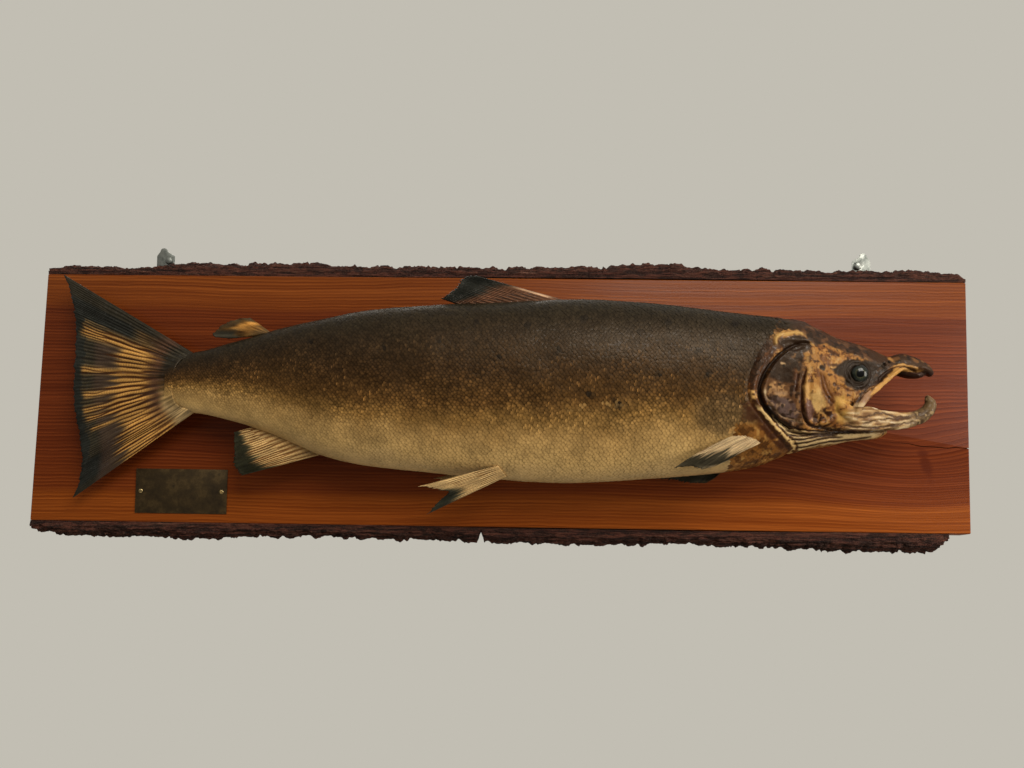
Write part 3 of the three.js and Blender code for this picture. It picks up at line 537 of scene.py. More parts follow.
def head_marking(places, colour, inward):
    """Lays the head's bones, folds and streaks over the body's colour."""
    x, z = places[:, 0], places[:, 2]
    sway = np.stack([noise(places, 5, 21), noise(places, 5, 22)], axis=1) * 1.3
    sway += np.stack([noise(places, 1.8, 23), noise(places, 1.8, 24)], axis=1) * 0.6
    wx, wz = x + sway[:, 0], z + sway[:, 1]
    lay = layer_on(colour)

    # Bare skin of the head, from the shoulder rim forward.
    ring = from_line(wx, wz, curve([(330, 112), (316, 92)] + SHOULDER_RIM + [(318, -70)]))[0]
    bare = ease(-2, 2, ring)
    mottle = noise(places, 6.5, 31)
    fine = noise(places, 2.6, 32)

    def specks(low, high, size, seed, fine_share=0):
        """Irregular specks: 0 where the noise is under low, and 1 from high on."""
        return ease(low, high, noise(places, size, seed) + fine_share * fine)

    lay((186, 137, 76), bare)
    lay((118, 72, 36), bare * 0.75 * ease(0.12, 0.5, mottle + 0.4 * fine))
    lay((222, 182, 118), bare * 0.7 * specks(0.2, 0.65, 5, 33, 0.3))
    veins = np.abs(noise(places, 4.4, 45) + 0.4 * noise(places, 1.7, 46))
    lay((92, 52, 24), bare * 0.85 * ease(0.16, 0.04, veins) * specks(-0.4, 0.1, 12, 47))
    lay((64, 38, 20), bare * 0.8 * specks(0.25, 0.5, 3.6, 54, 0.3))
    # Gill cover.
    inside, edge_share = from_line(wx, wz, curve(COVER_EDGE))
    on_cover = ease(-0.3, 0.6, inside) * ease(333, 328, wx)
    lay((96, 66, 44), on_cover * 0.9)
    lay((46, 31, 21), on_cover * patch(wx, wz, [(309, 60), (330, 60), (329, 46), (327, 24), (318, 20),
                                                (304, 21), (292, 27), (298, 42)], 2))
    lay((190, 150, 102), on_cover * patch(wx, wz, [(290, 18), (299, 22), (308, 20), (314, 14), (310, 6),
                                                   (301, 4), (291, 8)], 2.5)
        * ease(-0.3, 0.25, fine + 0.5 * mottle + 0.15))
    lay((84, 52, 30), on_cover * 0.8 * blob(wx, wz, (303, 12), (9, 3)) * ease(-0.3, 0.3, fine))
    lay((96, 78, 78), on_cover * patch(wx, wz, [(288, 4), (300, 6), (309, 5), (318, 1), (326, -9), (324, -18),
                                                (312, -17), (297, -9)], 2))
    lay((176, 146, 118), on_cover * 0.8 * specks(0.15, 0.5, 4.2, 34, 0.4) * ease(20, 4, wz))
    lay((150, 112, 72), on_cover * 0.8 * specks(0.15, 0.5, 5.4, 51, 0.4) * ease(312, 322, wx))
    lay((36, 22, 14), on_cover * 0.8 * specks(0.2, 0.5, 3.2, 52, 0.3))
    lay((48, 30, 22), on_cover * 0.8 * specks(0.2, 0.5, 4.6, 35) * ease(14, 2, wz))
    lay((214, 196, 164), stroke(wx, wz, [(287.5, 13), (286.8, 4), (290.5, -3)], 1.8))
    lay((206, 178, 140), blob(wx, wz, (306, 40), (5, 3.6)) * ease(-0.6, 0.3, fine))
    lay((24, 15, 10), blob(wx, wz, (308.5, 38), (1.7, 1.7)))
    lay((120, 72, 34), 0.8 * stroke(wx, wz, [(324, 44), (323, 30), (320, 14), (320, 0)], 3.4)
        * ease(-0.3, 0.4, mottle))
    lay((58, 30, 15), stroke(wx, wz, SHORT_GROOVE, 1.8))
    lay((206, 180, 146), 0.8 * stroke(wx, wz, COVER_SEAM, 0.8))
    # Shoulder rim, the painted shadow in the gap in front of it, gold highlights painted on it, and
    # the temple.
    strip = ease(-5, -1, ring) * ease(14, 10, ring) * (wx < 334) * ease(76, 62, wz)
    lay((58, 32, 14), strip)
    lay((128, 78, 34), 0.55 * hump(ring, 5, 1.3) * strip)
    # Sparse gold specks on the strip's lower part are painted highlights of its gloss.
    lay((186, 128, 62), 0.8 * strip * specks(0.3, 0.6, 3.4, 44) * ease(24, 8, wz))
    breast = ease(1, -3, ring) * ease(-20, -28, wz) * (wx < 334)
    lay((150, 102, 48), breast)
    lay((88, 54, 22), 0.85 * breast * specks(-0.1, 0.4, 6, 48, 0.3))
    lay((206, 164, 96), 0.7 * breast * specks(0.15, 0.5, 4.5, 55))
    lay((246, 216, 156), ease(-0.5, 1, ring) * ease(5, 3.4, ring) * ease(-1, -8, wz) * (wx < 331)
        * specks(-0.9, -0.3, 4, 59))
    lay((36, 20, 11), hump(ring, 6.8, 1.3) * ease(0, -6, wz) * ease(-50, -40, wz))
    lay((110, 66, 26), 0.8 * hump(ring, -1.8, 1.4) * ease(4, -6, wz) * (wx < 331))
    lay((66, 34, 15), 0.9 * ease(-14, -9, ring) * ease(0.5, -1.5, ring) * ease(4, -4, wz) * ease(-58, -46, wz)
        * specks(-0.8, -0.2, 4, 62))
    # A bright yellow patch on the rim's gold, painted as a highlight.
    lay((226, 182, 112), patch(wx, wz, [(272, 11), (279, 11.5), (280.5, 0), (274, -2)], 1.6)
        * ease(-0.6, 0, fine))
    lay((60, 34, 18), 0.8 * patch(wx, wz, [(268, -7), (278, -10), (287, -19), (276, -22), (264, -20)], 3))
    # Painted shadow in the gap under the gill cover's edge, and in the groove along its lower edge.
    lay((30, 17, 10), ease(-4.6, -3.4, inside) * ease(0.2, -0.6, inside) * ease(0, 0.08, edge_share)
        * ease(1, 0.9, edge_share))
    lay((22, 13, 9), stroke(wx, wz, [(289, -3), (298, -13), (309, -23.5), (320, -30)], 2.2))
    # Cheek.
    lay((226, 186, 120), 0.85 * stroke(wx, wz, [(337, 52), (336, 34), (334, 16), (336, 4), (342, -6)], 4)
        * ease(-0.7, 0.1, mottle))
    lay((240, 206, 140), 0.85 * blob(wx, wz, (346, 2), (9, 15)) * specks(-0.6, 0.1, 4, 36))
    groove, groove_share = from_line(wx, wz, curve(CHEEK_GROOVE))
    lay((56, 28, 14), hump(groove, 0, 1.5) * ease(1.02, 0.9, groove_share))
    lay((118, 86, 78), patch(wx, wz, [(333, 4), (338.5, 2), (341.5, -8), (340.5, -18), (335.5, -20),
                                      (332, -10)], 1.2))
    lay((62, 36, 22), patch(wx, wz, [(342, -9), (346, -13), (350, -6), (358, -5), (364, -12), (360, -19),
                                     (350, -22), (341, -20)], 1.6)
        * ease(-0.35, 0, fine + 0.6 * noise(places, 5, 53)))
    lay((214, 176, 120), 0.8 * stroke(wx, wz, [(349, -1), (351, -8), (356, -15), (357, -22)], 0.9))
    for wrinkle in CHEEK_WRINKLES:
        lay((92, 54, 26), 0.8 * stroke(wx, wz, wrinkle, 1.1))
    lay((108, 66, 34), 0.6 * patch(wx, wz, [(347, 36), (352, 34), (366, 4), (360, -3), (350, 10)], 3))
    for dot_x, dot_z, radius in [(356.2, 61, 1.5), (350.5, 38.6, 2.6), (353.2, 36, 1.8), (366, 31, 1.1),
                                 (358, 6.6, 1.1), (363, 52, 1)]:
        lay((36, 22, 14), blob(wx, wz, (dot_x, dot_z), (radius, radius)))
    # Crown, snout and the dark skin round the eye.
    crown = column([[296, 79], [310, 80], [329, 79], [336, 75], [341, 67], [348, 64], [360, 63.5],
                    [375.5, 57.3], [392.6, 51.9], [406.5, 48.2], [415.7, 44], [425, 44], [432, 47]], 1, wx)
    on_crown = bare * ease(-1.5, 2, wz - crown)
    lay((66, 45, 32), on_crown)
    lay((60, 50, 38), on_crown * ease(336, 318, wx))
    lay((122, 86, 60), 0.65 * on_crown * specks(0.1, 0.5, 5, 37) * ease(322, 336, wx))
    lay((36, 25, 18), 0.8 * on_crown * specks(0.1, 0.5, 4, 38) * ease(322, 336, wx))
    lay((46, 30, 18), patch(wx, wz, [(307, 62), (310, 69), (320, 72), (331, 73), (340, 69), (341.5, 62),
                                     (338, 56), (332, 53), (325, 57), (314, 58)], 1.4))
    lay((214, 178, 112), stroke(wx, wz, TEMPLE_RIM, 2.3))
    lay((64, 43, 28), patch(wx, wz, [(409, 58), (424, 66), (445, 62), (470, 60), (500, 44), (490, 26),
                                     (474, 38.5), (455, 44), (441, 43), (436, 42), (426, 34),
                                     (416, 40)], 1.5))
    lay((150, 104, 60), 0.7 * patch(wx, wz, [(424, 60), (445, 60), (470, 56), (486, 42), (474, 41),
                                             (440, 45)], 3) * specks(0.05, 0.45, 4, 49))
    lay((30, 20, 14), 0.85 * specks(0.1, 0.5, 5, 50) * ease(430, 438, wx) * ease(43, 46, wz))
    lay((34, 22, 13), patch(wx, wz, [(362, 35), (370.7, 41), (377, 45.5), (391, 47.5), (410, 46.5), (428, 42),
                                     (433, 34.6), (423.5, 27), (414, 20), (401.6, 15), (389, 14.5),
                                     (378.5, 18), (375, 27.7), (369, 29)], 1.6))
    lay((110, 80, 56), 0.5 * patch(wx, wz, [(412, 40), (424, 42), (429, 36), (418, 25), (408, 22)], 2)
        * ease(0, 0.5, fine))
    lay((198, 148, 84), 0.9 * patch(wx, wz, [(434, 49), (438, 54), (447, 54), (449, 50), (441, 46)], 1.6)
        * ease(-0.5, 0.2, mottle))
    lay((20, 13, 10), blob(wx, wz, (427.5, 43.6), (2, 2)) + blob(wx, wz, (433.4, 46.4), (1.6, 1.6)))
    # Mouth's corner, upper lip and its folds.
    lay((218, 176, 96), 0.9 * patch(wx, wz, [(364, 6), (378, 8), (386, -6), (384, -20), (368, -20)], 2.5)
        * ease(-0.8, 0, mottle))
    lay((172, 136, 108), patch(wx, wz, [(385, -15), (388, -4), (394, 6), (405, 15), (409, 12), (402, 2),
                                        (396, -8), (391, -16)], 1))
    lay((220, 172, 100), patch(wx, wz, [(404, 9), (412, 17), (420, 23), (431, 32), (440, 41), (452, 42.5),
                                        (470, 37), (474, 31), (452, 34), (440, 31), (425, 18), (412, 10)], 1))
    lay((48, 26, 14), stroke(wx, wz, LIP_BACK, 1.7))
    lay((56, 32, 18), 0.9 * stroke(wx, wz, [(434, 38.5), (443, 41), (455, 40.4), (467, 36.8)], 0.9))
    lay((222, 176, 108), 0.9 * stroke(wx, wz, LIP_FOLD, 1.1))
    # Lower jaw with its streaks, two pale strokes painted as highlights, the grey hook, and the rayed
    # skin below it.
    jaw_top = from_line(wx, wz, curve([(378, -12), (392, -3), (410, -3), (430, -8), (455, -10),
                                       (475, -4)]))[0]
    jaw = (ease(-31.5, -29.5, wz + 0.004 * np.maximum(wx - 405, 0) ** 1.6) * ease(372, 382, wx)
           * ease(6, -2, jaw_top))
    low = jaw * ease(12, 6, wz)
    lay((196, 164, 118), low)
    streaks = noise(np.stack([x / 9, places[:, 1] / 4, z], axis=1), 1.5, 39)
    lay((112, 78, 48), low * 0.75 * ease(0, 0.5, streaks))
    lay((250, 234, 200), low * 0.75 * ease(0.05, 0.5, -streaks))
    for streak in JAW_STREAKS:
        lay((66, 42, 26), 0.85 * stroke(wx, wz, streak, 1.2))
    # Two pale strokes on the jaw are painted highlights: one along the lower streaks, one near-white at the
    # jaw's upper edge.
    lay((238, 222, 190), 0.9 * stroke(wx, wz, [(414, -18), (434, -20.5), (453, -17.5)], 1))
    lay((255, 246, 224), stroke(wx, wz, [(410, -4.2), (416, -4.6), (423, -6)], 1.1))
    lay((122, 102, 76), ease(450, 468, wx) * ease(20, 10, wz) * ease(0, 1, wx - 440))
    lay((72, 56, 42), 0.7 * ease(450, 468, wx) * ease(20, 10, wz) * specks(0.05, 0.5, 4, 40))
    lay((206, 184, 144), 0.8 * ease(455, 466, wx) * ease(13, 5, wz) * specks(0.3, 0.6, 3, 41))
    lay((246, 222, 172), gill_skin(wx, wz))
    for ray in GILL_RAYS:
        lay((46, 26, 13), stroke(x + 0.4 * sway[:, 0], z + 0.4 * sway[:, 1], ray, 1.15))
    lay((70, 42, 20), 0.9 * stroke(wx, wz, JAW_UNDERLINE, 1.1))
    lay((50, 26, 18), ease(444, 449, x) * ease(36.8, 35.4, z - 0.06 * np.abs(x - 464)) * (z > 22))
    if inward is not None:
        lay((74, 40, 26), ease(0.1, 0.5, inward) * ease(372, 384, x) * (z > -27) * (z < 48))
    return colour


def paint(mesh, name, values):
    """Gives each vertex of a mesh its colour."""
    layer = mesh.attributes.new(name, "FLOAT_COLOR", "POINT")
    layer.data.foreach_set("color", np.column_stack([values, np.ones(len(values))]).ravel())


places = vectors(skin.data, "places")
normals = vectors(skin.data, "normals")
paint(skin.data, "marking", marking(places, normals[:, 1] * np.sign(PLANE - places[:, 1])))


def add_node(tree, kind, inputs=None, **settings):
    """A node with its settings, and its inputs set to values or joined to other nodes' outputs."""
    node = tree.nodes.new(kind)
    for key, value in settings.items():
        setattr(node, key, value)
    for key, value in (inputs or {}).items():
        if isinstance(value, bpy.types.NodeSocket):
            tree.links.new(value, node.inputs[key])
        else:
            node.inputs[key].default_value = value
    return node


def new_group(name, inputs, outputs):
    """A node group with the named sockets, and its two end nodes."""
    group = bpy.data.node_groups.new(name, "ShaderNodeTree")
    for label, kind in inputs:
        group.interface.new_socket(label, in_out="INPUT", socket_type="NodeSocket" + kind)
    for label, kind in outputs:
        group.interface.new_socket(label, in_out="OUTPUT", socket_type="NodeSocket" + kind)
    return group, group.nodes.new("NodeGroupInput"), group.nodes.new("NodeGroupOutput")


def new_material(name, **shader_values):
    """A material whose Principled shader has the given values, with spaces in names as _."""
    material = bpy.data.materials.new(name)
    material.use_nodes = True
    shader = material.node_tree.nodes["Principled BSDF"]
    for key, value in shader_values.items():
        shader.inputs[key.replace("_", " ")].default_value = value
    return material, material.node_tree, shader


def shade_values(colour):
    return (*linear(colour), 1)


def mixed(tree, share, first, second, blend="MIX"):
    """A mix of two colours, by a share that may be a socket."""
    return add_node(tree, "ShaderNodeMix", {0: share, 6: first, 7: second},
                    data_type="RGBA", blend_type=blend).outputs[2]


def noise_over(tree, vector, scale, size=1, detail=3, roughness=0.5):
    """Noise over a place that is scaled first, unevenly for streaks."""
    stretch = add_node(tree, "ShaderNodeMapping", {"Vector": vector, "Scale": scale})
    return add_node(tree, "ShaderNodeTexNoise", {
        "Vector": stretch.outputs["Vector"], "Scale": size, "Detail": detail, "Roughness": roughness,
    }).outputs["Fac"]


def mapped(tree, value, from_low, from_high, to_low, to_high, smooth=False):
    """A value carried from one range to another."""
    return add_node(tree, "ShaderNodeMapRange", {
        "Value": value, "From Min": from_low, "From Max": from_high, "To Min": to_low, "To Max": to_high,
    }, interpolation_type="SMOOTHSTEP" if smooth else "LINEAR").outputs["Result"]


def maths(tree, operation, first, second):
    return add_node(tree, "ShaderNodeMath", {0: first, 1: second}, operation=operation).outputs[0]


def ramp(tree, share, stops):
    """Colours along a share from 0 to 1."""
    node = add_node(tree, "ShaderNodeValToRGB", {"Fac": share})
    while len(node.color_ramp.elements) < len(stops):
        node.color_ramp.elements.new(1)
    for element, (position, colour) in zip(node.color_ramp.elements, stops):
        element.position = position
        element.color = shade_values(colour)
    return node.outputs["Color"]


def bumped(tree, shader, height, distance, strength=0.6):
    """Lets a height of up to the distance, in millimetres, show in a shader's surface."""
    rise = add_node(tree, "ShaderNodeBump", {
        "Height": height, "Distance": distance * MM, "Strength": strength})
    tree.links.new(rise.outputs["Normal"], shader.inputs["Normal"])


# The lacquer on skin, scales and fins: fine mottling of the painted marking, and a surface that is
# glossy where the lacquer is thick. Horn and dried skin under it give a warm gleam.
HORN_TINT = (1, 0.78, 0.55, 1)
lacquer_group, given, result = new_group(
    "lacquer_over_marking",
    [("Marking", "Color"), ("Grain", "Float"), ("Mottle", "Float"), ("Glints", "Float")],
    [("Color", "Color"), ("Roughness", "Float"), ("Coat", "Float"), ("Height", "Float")])
place = add_node(lacquer_group, "ShaderNodeTexCoord")
grain = add_node(lacquer_group, "ShaderNodeTexNoise", {
    "Vector": place.outputs["Object"], "Scale": given.outputs["Grain"], "Detail": 4, "Roughness": 0.6})
cloud = noise_over(lacquer_group, place.outputs["Object"], (1, 1, 1), 55)
uneven = maths(lacquer_group, "ADD", grain.outputs["Fac"], cloud)
strength = mapped(lacquer_group, uneven, 0.6, 1.4, 0.62, 1.42)
spread = add_node(lacquer_group, "ShaderNodeMix", {0: given.outputs["Mottle"], 2: 1, 3: strength})
tinted = add_node(lacquer_group, "ShaderNodeVectorMath", {
    0: given.outputs["Marking"], "Scale": spread.outputs[0]}, operation="SCALE")
gloss = mapped(lacquer_group, cloud, 0.35, 0.7, 0.34, 0.5)
drops = noise_over(lacquer_group, place.outputs["Object"], (1, 1, 1), 330, detail=2)
shine = maths(lacquer_group, "MULTIPLY", mapped(lacquer_group, drops, 0.52, 0.72, 0.06, 1, smooth=True),
              given.outputs["Glints"])
lacquer_group.links.new(tinted.outputs["Vector"], result.inputs["Color"])
lacquer_group.links.new(gloss, result.inputs["Roughness"])
lacquer_group.links.new(shine, result.inputs["Coat"])
lacquer_group.links.new(grain.outputs["Fac"], result.inputs["Height"])


def lacquered(name, grain_scale, mottle, bump, glints):
    """A material of lacquer over a piece's own marking."""
    material, tree, shader = new_material(name, Specular_IOR_Level=0.16, Specular_Tint=HORN_TINT,
                                          Coat_Roughness=0.1)
    painted = add_node(tree, "ShaderNodeAttribute", attribute_name="marking")
    coat = add_node(tree, "ShaderNodeGroup", node_tree=lacquer_group)
    tree.links.new(painted.outputs["Color"], coat.inputs["Marking"])
    coat.inputs["Grain"].default_value = grain_scale
    coat.inputs["Mottle"].default_value = mottle
    coat.inputs["Glints"].default_value = glints
    tree.links.new(coat.outputs["Color"], shader.inputs["Base Color"])
    tree.links.new(coat.outputs["Roughness"], shader.inputs["Roughness"])
    tree.links.new(coat.outputs["Coat"], shader.inputs["Coat Weight"])
    bumped(tree, shader, coat.outputs["Height"], bump)
    return material


skin.data.materials.append(lacquered("lacquered_skin", 900, 0.8, 0.5, 0.28))
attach(skin, "root")

# ---- Scales ------------------------------------------------------------------------------------
# Small overlapping scales of thin horn cover the skin from the shoulder to the tail. Each is rooted in
# the skin at its front and free at its back, and raised in its middle. Painted shade darkens each scale's
# sides, a painted highlight makes its raised middle palest, and along the flank some free rims carry
# painted glints. The scales lie in rows round the body, in six strips from the tail forward.
SCALE_PITCH, SCALE_ROW = 4.4, 5.4  # along the body, and round it
SCALE_REACH = 2.8
SCALE_THICKNESS = 0.2
SCALE_SIDES = 7
SCALE_EDGE = 40  # degrees between the top and the rim, past which the shading breaks
# Size of the scales along the body: [x, share of the full size].
SCALE_SIZE = [(-386, 0.6), (-360, 0.74), (-250, 0.86), (-60, 1), (200, 1), (322, 0.9)]
# Where the scales end at the shoulder: [z, x].
BARE_FROM = [(-100, 306), (-45, 304), (-32, 270), (-15, 268), (-3, 268.5), (10, 270.5), (25, 276.5),
             (40, 285), (55, 294.5), (63, 299), (74, 302), (82, 322), (130, 322)]
# How bright the scales are from belly to back: [share of the height, tone].
SCALE_TONES = [(0.05, 0.98), (0.2, 0.86), (0.3, 0.78), (0.45, 0.74), (0.8, 0.64), (0.95, 0.62)]
ZONES = (-400, -245, -130, -20, 85, 195, 330)  # x from strip to strip
PATCH = 0.003  # size of one scale on the OFBake map
MAP_FROM, MAP_LENGTH, MAP_GIRTH = -400, 740, 660  # what the map covers along and round the body
DISC_THICKNESS = 0.07
RING_POINTS = 721
BOARD_MARGIN = 2.4  # no scale is rooted closer to the board than this

scale_form = bmesh.new()
bmesh.ops.create_circle(scale_form, cap_ends=True, cap_tris=True, segments=SCALE_SIDES, radius=1,
                        matrix=Matrix.Rotation(math.pi / 2, 3, "Z").to_4x4())
bmesh.ops.solidify(scale_form, geom=scale_form.faces, thickness=DISC_THICKNESS)
bmesh.ops.recalc_face_normals(scale_form, faces=scale_form.faces)
scale_form.verts.ensure_lookup_table()
disc = np.array([vert.co for vert in scale_form.verts])
disc_faces = [[vert.index for vert in face.verts] for face in scale_form.faces]
scale_form.free()
under = np.abs(disc[:, 2]) > DISC_THICKNESS / 2
centre = np.hypot(disc[:, 0], disc[:, 1]) < 0.1
back_share = disc[:, 0] + 0.35 * centre
scale_u = SCALE_REACH * np.where(back_share > 0, back_share, 1.3 * back_share)
scale_v = SCALE_REACH * disc[:, 1] * np.where(disc[:, 0] < -0.4, 0.8, 1)
scale_height = np.where(centre, 0.44, 0.15 + 0.24 * disc[:, 0]) - np.where(under, SCALE_THICKNESS, 0)
on_rim = disc[:, 0] > 0.6


def scale_roots():
    """Root, direction round the body, bend and size of each scale, with its distance along the ring."""
    turns = np.linspace(-0.5, 0.5, RING_POINTS)
    x = SCALE_SIZE[-1][0]
    odd = 0
    found = []
    while x > SCALE_SIZE[0][0]:
        size = np.interp(x, *zip(*SCALE_SIZE))
        ring = body_place(np.full(RING_POINTS, float(x)), turns % 1)
        steps = np.diff(ring, axis=0)
        lengths = np.linalg.norm(steps, axis=1)
        arc = np.concatenate([[0], np.cumsum(lengths)])
        arc -= np.interp(0, turns, arc)
        middles = (arc[1:] + arc[:-1]) / 2
        heading = np.unwrap(np.arctan2(steps[:, 2], steps[:, 1]))
        bend = np.abs(np.gradient(heading, middles))
        row = SCALE_ROW * size
        first = math.ceil(arc[0] / row)
        at = (np.arange(first, -first + 1) + 0.5 * odd) * row
        at = at[(at > arc[0]) & (at < arc[-1])]
        roots = np.stack([np.interp(at, arc, ring[:, k]) for k in range(3)], axis=1)
        angle = np.interp(at, middles, heading)
        found.append(np.column_stack([roots, np.cos(angle), np.sin(angle), np.interp(at, middles, bend),
                                      np.full(len(at), size), at]))
        x -= SCALE_PITCH / 2 * size
        odd = 1 - odd
    return np.concatenate(found)


roots = scale_roots()
covered = (roots[:, 0] < np.interp(roots[:, 2], *zip(*BARE_FROM))) & (roots[:, 1] < FACE - BOARD_MARGIN)
roots = roots[covered]
surface = BVHTree.FromObject(skin, bpy.context.evaluated_depsgraph_get())
hits = [surface.find_nearest(Vector(root[:3]) * MM) for root in roots]
bases = np.array([hit[0] for hit in hits]) / MM
ups = np.array([hit[1] for hit in hits])
tailward = np.array([-1.0, 0, 0]) + ups[:, :1] * ups
tailward /= np.linalg.norm(tailward, axis=1)[:, None]
around = np.cross(ups, tailward)
dice = np.random.default_rng(8).uniform(-1, 1, (7, len(bases)))
bends = np.clip(roots[:, 5], 0, 0.16)
sizes = roots[:, 6] * (1 + 0.1 * dice[0])
sway = 0.2 * dice[1]
bases += (0.9 * dice[5] * sizes)[:, None] * tailward + (0.85 * dice[6] * sizes)[:, None] * around
tailward, around = (tailward * np.cos(sway)[:, None] + around * np.sin(sway)[:, None],
                    around * np.cos(sway)[:, None] - tailward * np.sin(sway)[:, None])
base_colours = marking(bases)
# Where a scale sits between belly and back decides how bright it is, and how strongly its rim
# carries a painted glint.
foot, back = column(BODY, 2, bases[:, 0]), column(BODY, 1, bases[:, 0])
rise = (bases[:, 2] - foot) / (back - foot)
rise = rise + 0.06 * noise(bases, 24, 55)
# The rims' glints above this share of the height are painted into the colour.
dark_side = ease(0.22, 0.42, rise)  # where rims glint over dark horn; below it the horn is pale
lively = ease(-0.4, 0.6, noise(bases, 22, 56) + 0.6 * noise(bases, 7, 57)) * ease(0.92, 0.6, rise)
# Patches where the raised middles carry a strong painted glint.
dotted = ease(0, 0.4, noise(bases, 34, 58) + 0.0012 * (60 - bases[:, 0])) * dark_side * ease(0.85, 0.6, rise)
# How strongly each scale's free rim is painted bright as a glint.
glints = dark_side * (0.06 + lively) * (0.3 + 3.2 * ease(-0.2, 1, dice[3]) ** 2)
bright = np.interp(rise, *zip(*SCALE_TONES)) * (1 + (0.1 + 0.22 * dark_side) * dice[2])
# How strongly painted shade darkens a scale's sides and rim, and a painted highlight lightens its middle.
painted_relief = 0.2 + 0.2 * dark_side * ease(1, 0.75, rise)
# Brightness of a scale's free rim, of its sides and of its raised middle: painted shade darkens the
# sides and rim, a painted highlight lightens the middle, and painted glints brighten some rims.
rims = 1 - 0.4 * painted_relief + 1.6 * glints * (1 - 0.7 * dotted)
sides = 1 - 0.8 * painted_relief - 0.2 * dotted
cores = 1 + painted_relief + 0.2 * glints + dotted * (0.5 + 0.6 * dice[3])
flatness = 1.1 + 0.3 * dark_side
unwrapped = np.column_stack([(bases[:, 0] - MAP_FROM) / MAP_LENGTH, 0.5 + roots[:, 7] / MAP_GIRTH])
scale_lacquer = lacquered("lacquered_scales", 1400, 0.6, 0.15, 0.1)
for k, (low, high) in enumerate(zip(ZONES[:-1], ZONES[1:])):
    chosen = np.flatnonzero((bases[:, 0] >= low) & (bases[:, 0] < high))
    size = sizes[chosen, None]
    u, v = scale_u * size, scale_v * size
    drop = bends[chosen, None] * v * v / 2
    lift = scale_height * size * (1 + 0.25 * dice[2][chosen, None]) * flatness[chosen, None] - drop
    spots = bases[chosen, None, :] + u[..., None] * tailward[chosen, None, :]
    spots += v[..., None] * around[chosen, None, :] + lift[..., None] * ups[chosen, None, :]
    spots[..., 1] = np.minimum(spots[..., 1], FACE - GAP)
    tone = np.where(on_rim, rims[chosen, None], np.where(centre, cores[chosen, None], sides[chosen, None]))
    shades = base_colours[chosen, None, :] * (tone * bright[chosen, None])[..., None]
    shades *= np.minimum(1, 0.56 / shades.max(axis=2, keepdims=True))
    count = len(chosen)
    starts = np.arange(count)[:, None] * len(disc)
    mesh = bpy.data.meshes.new(f"scales_{k + 1}")
    faces = [[start + corner for corner in face] for start in starts[:, 0].tolist() for face in disc_faces]
    mesh.from_pydata((spots.reshape(-1, 3) * MM).tolist(), [], faces)
    paint(mesh, "marking", shades.reshape(-1, 3))
    corners = np.empty(len(mesh.loops), int)
    mesh.loops.foreach_get("vertex_index", corners)
    local = np.column_stack([scale_u, scale_v]) / (2.6 * SCALE_REACH) * PATCH
    flat = (unwrapped[chosen, None, :] + local).reshape(-1, 2)
    mesh.uv_layers.new(name="OFBake").data.foreach_set("uv", flat[corners].ravel())
    mesh.shade_smooth()
    mesh.set_sharp_from_angle(angle=math.radians(SCALE_EDGE))
    scales = bpy.data.objects.new(f"scales_{k + 1}", mesh)
    bpy.context.collection.objects.link(scales)
    mesh.materials.append(scale_lacquer)
    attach(scales, "root")

# ---- Eyes --------------------------------------------------------------------------------------
# Each eye is a painted glass dome set in the orbit, turned a little forward: black pupil, thin gold
# ring, dark green-brown iris with fine rays, and a black edge under the lids.
PUPIL, IRIS = 4.2, 8.4
EYE_SEGMENTS = 96


def iris_colour(places, side):
    turned = Matrix.Rotation(math.radians(side * EYE["turn"]), 3, "Z")
    middle = np.array([EYE["x"], PLANE + side * EYE["out"], EYE["z"]])
    local = (places - middle) @ np.array(turned).T
    away = np.hypot(local[:, 0], local[:, 2])
    angle = np.arctan2(local[:, 2], local[:, 0])
    rays = noise(np.column_stack([np.cos(angle) * 9, np.sin(angle) * 9, away * 0.4]), 0.7, 61)
    colour = np.full((len(places), 3), 1.0) * (34, 38, 30)
    colour += rays[:, None] * (20, 22, 14)
    lay = layer_on(colour)
    lay((112, 100, 62), 0.7 * (hump(away - PUPIL, 0.55, 0.45) * (0.7 + 0.3 * rays)))
    lay((20, 18, 15), 0.75 * ease(PUPIL + 2.6, IRIS, away))
    lay((7, 8, 8), ease(PUPIL + 0.25, PUPIL - 0.1, away))
    return linear(np.clip(colour, 0, 255))


eye_glass, tree, shader = new_material("eye_glass", Coat_Weight=0.1, Coat_Roughness=0.03,
                                       Specular_IOR_Level=0.25)
painted = add_node(tree, "ShaderNodeAttribute", attribute_name="marking")
place = add_node(tree, "ShaderNodeTexCoord")
haze = noise_over(tree, place.outputs["Object"], (300, 300, 300))
tree.links.new(painted.outputs["Color"], shader.inputs["Base Color"])
tree.links.new(mapped(tree, haze, 0, 1, 0.06, 0.2), shader.inputs["Roughness"])
for name, side in (("eye_right", -1), ("eye_left", 1)):
    eye = finished(eye_ball(side, EYE["out"], EYE["radius"], EYE["flatness"], EYE_SEGMENTS), f"glass_{name}")
    paint(eye.data, "marking", iris_colour(vectors(eye.data, "places"), side))
    eye.data.shade_smooth()
    eye.data.materials.append(eye_glass)
    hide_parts(name)
    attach(eye, "root")

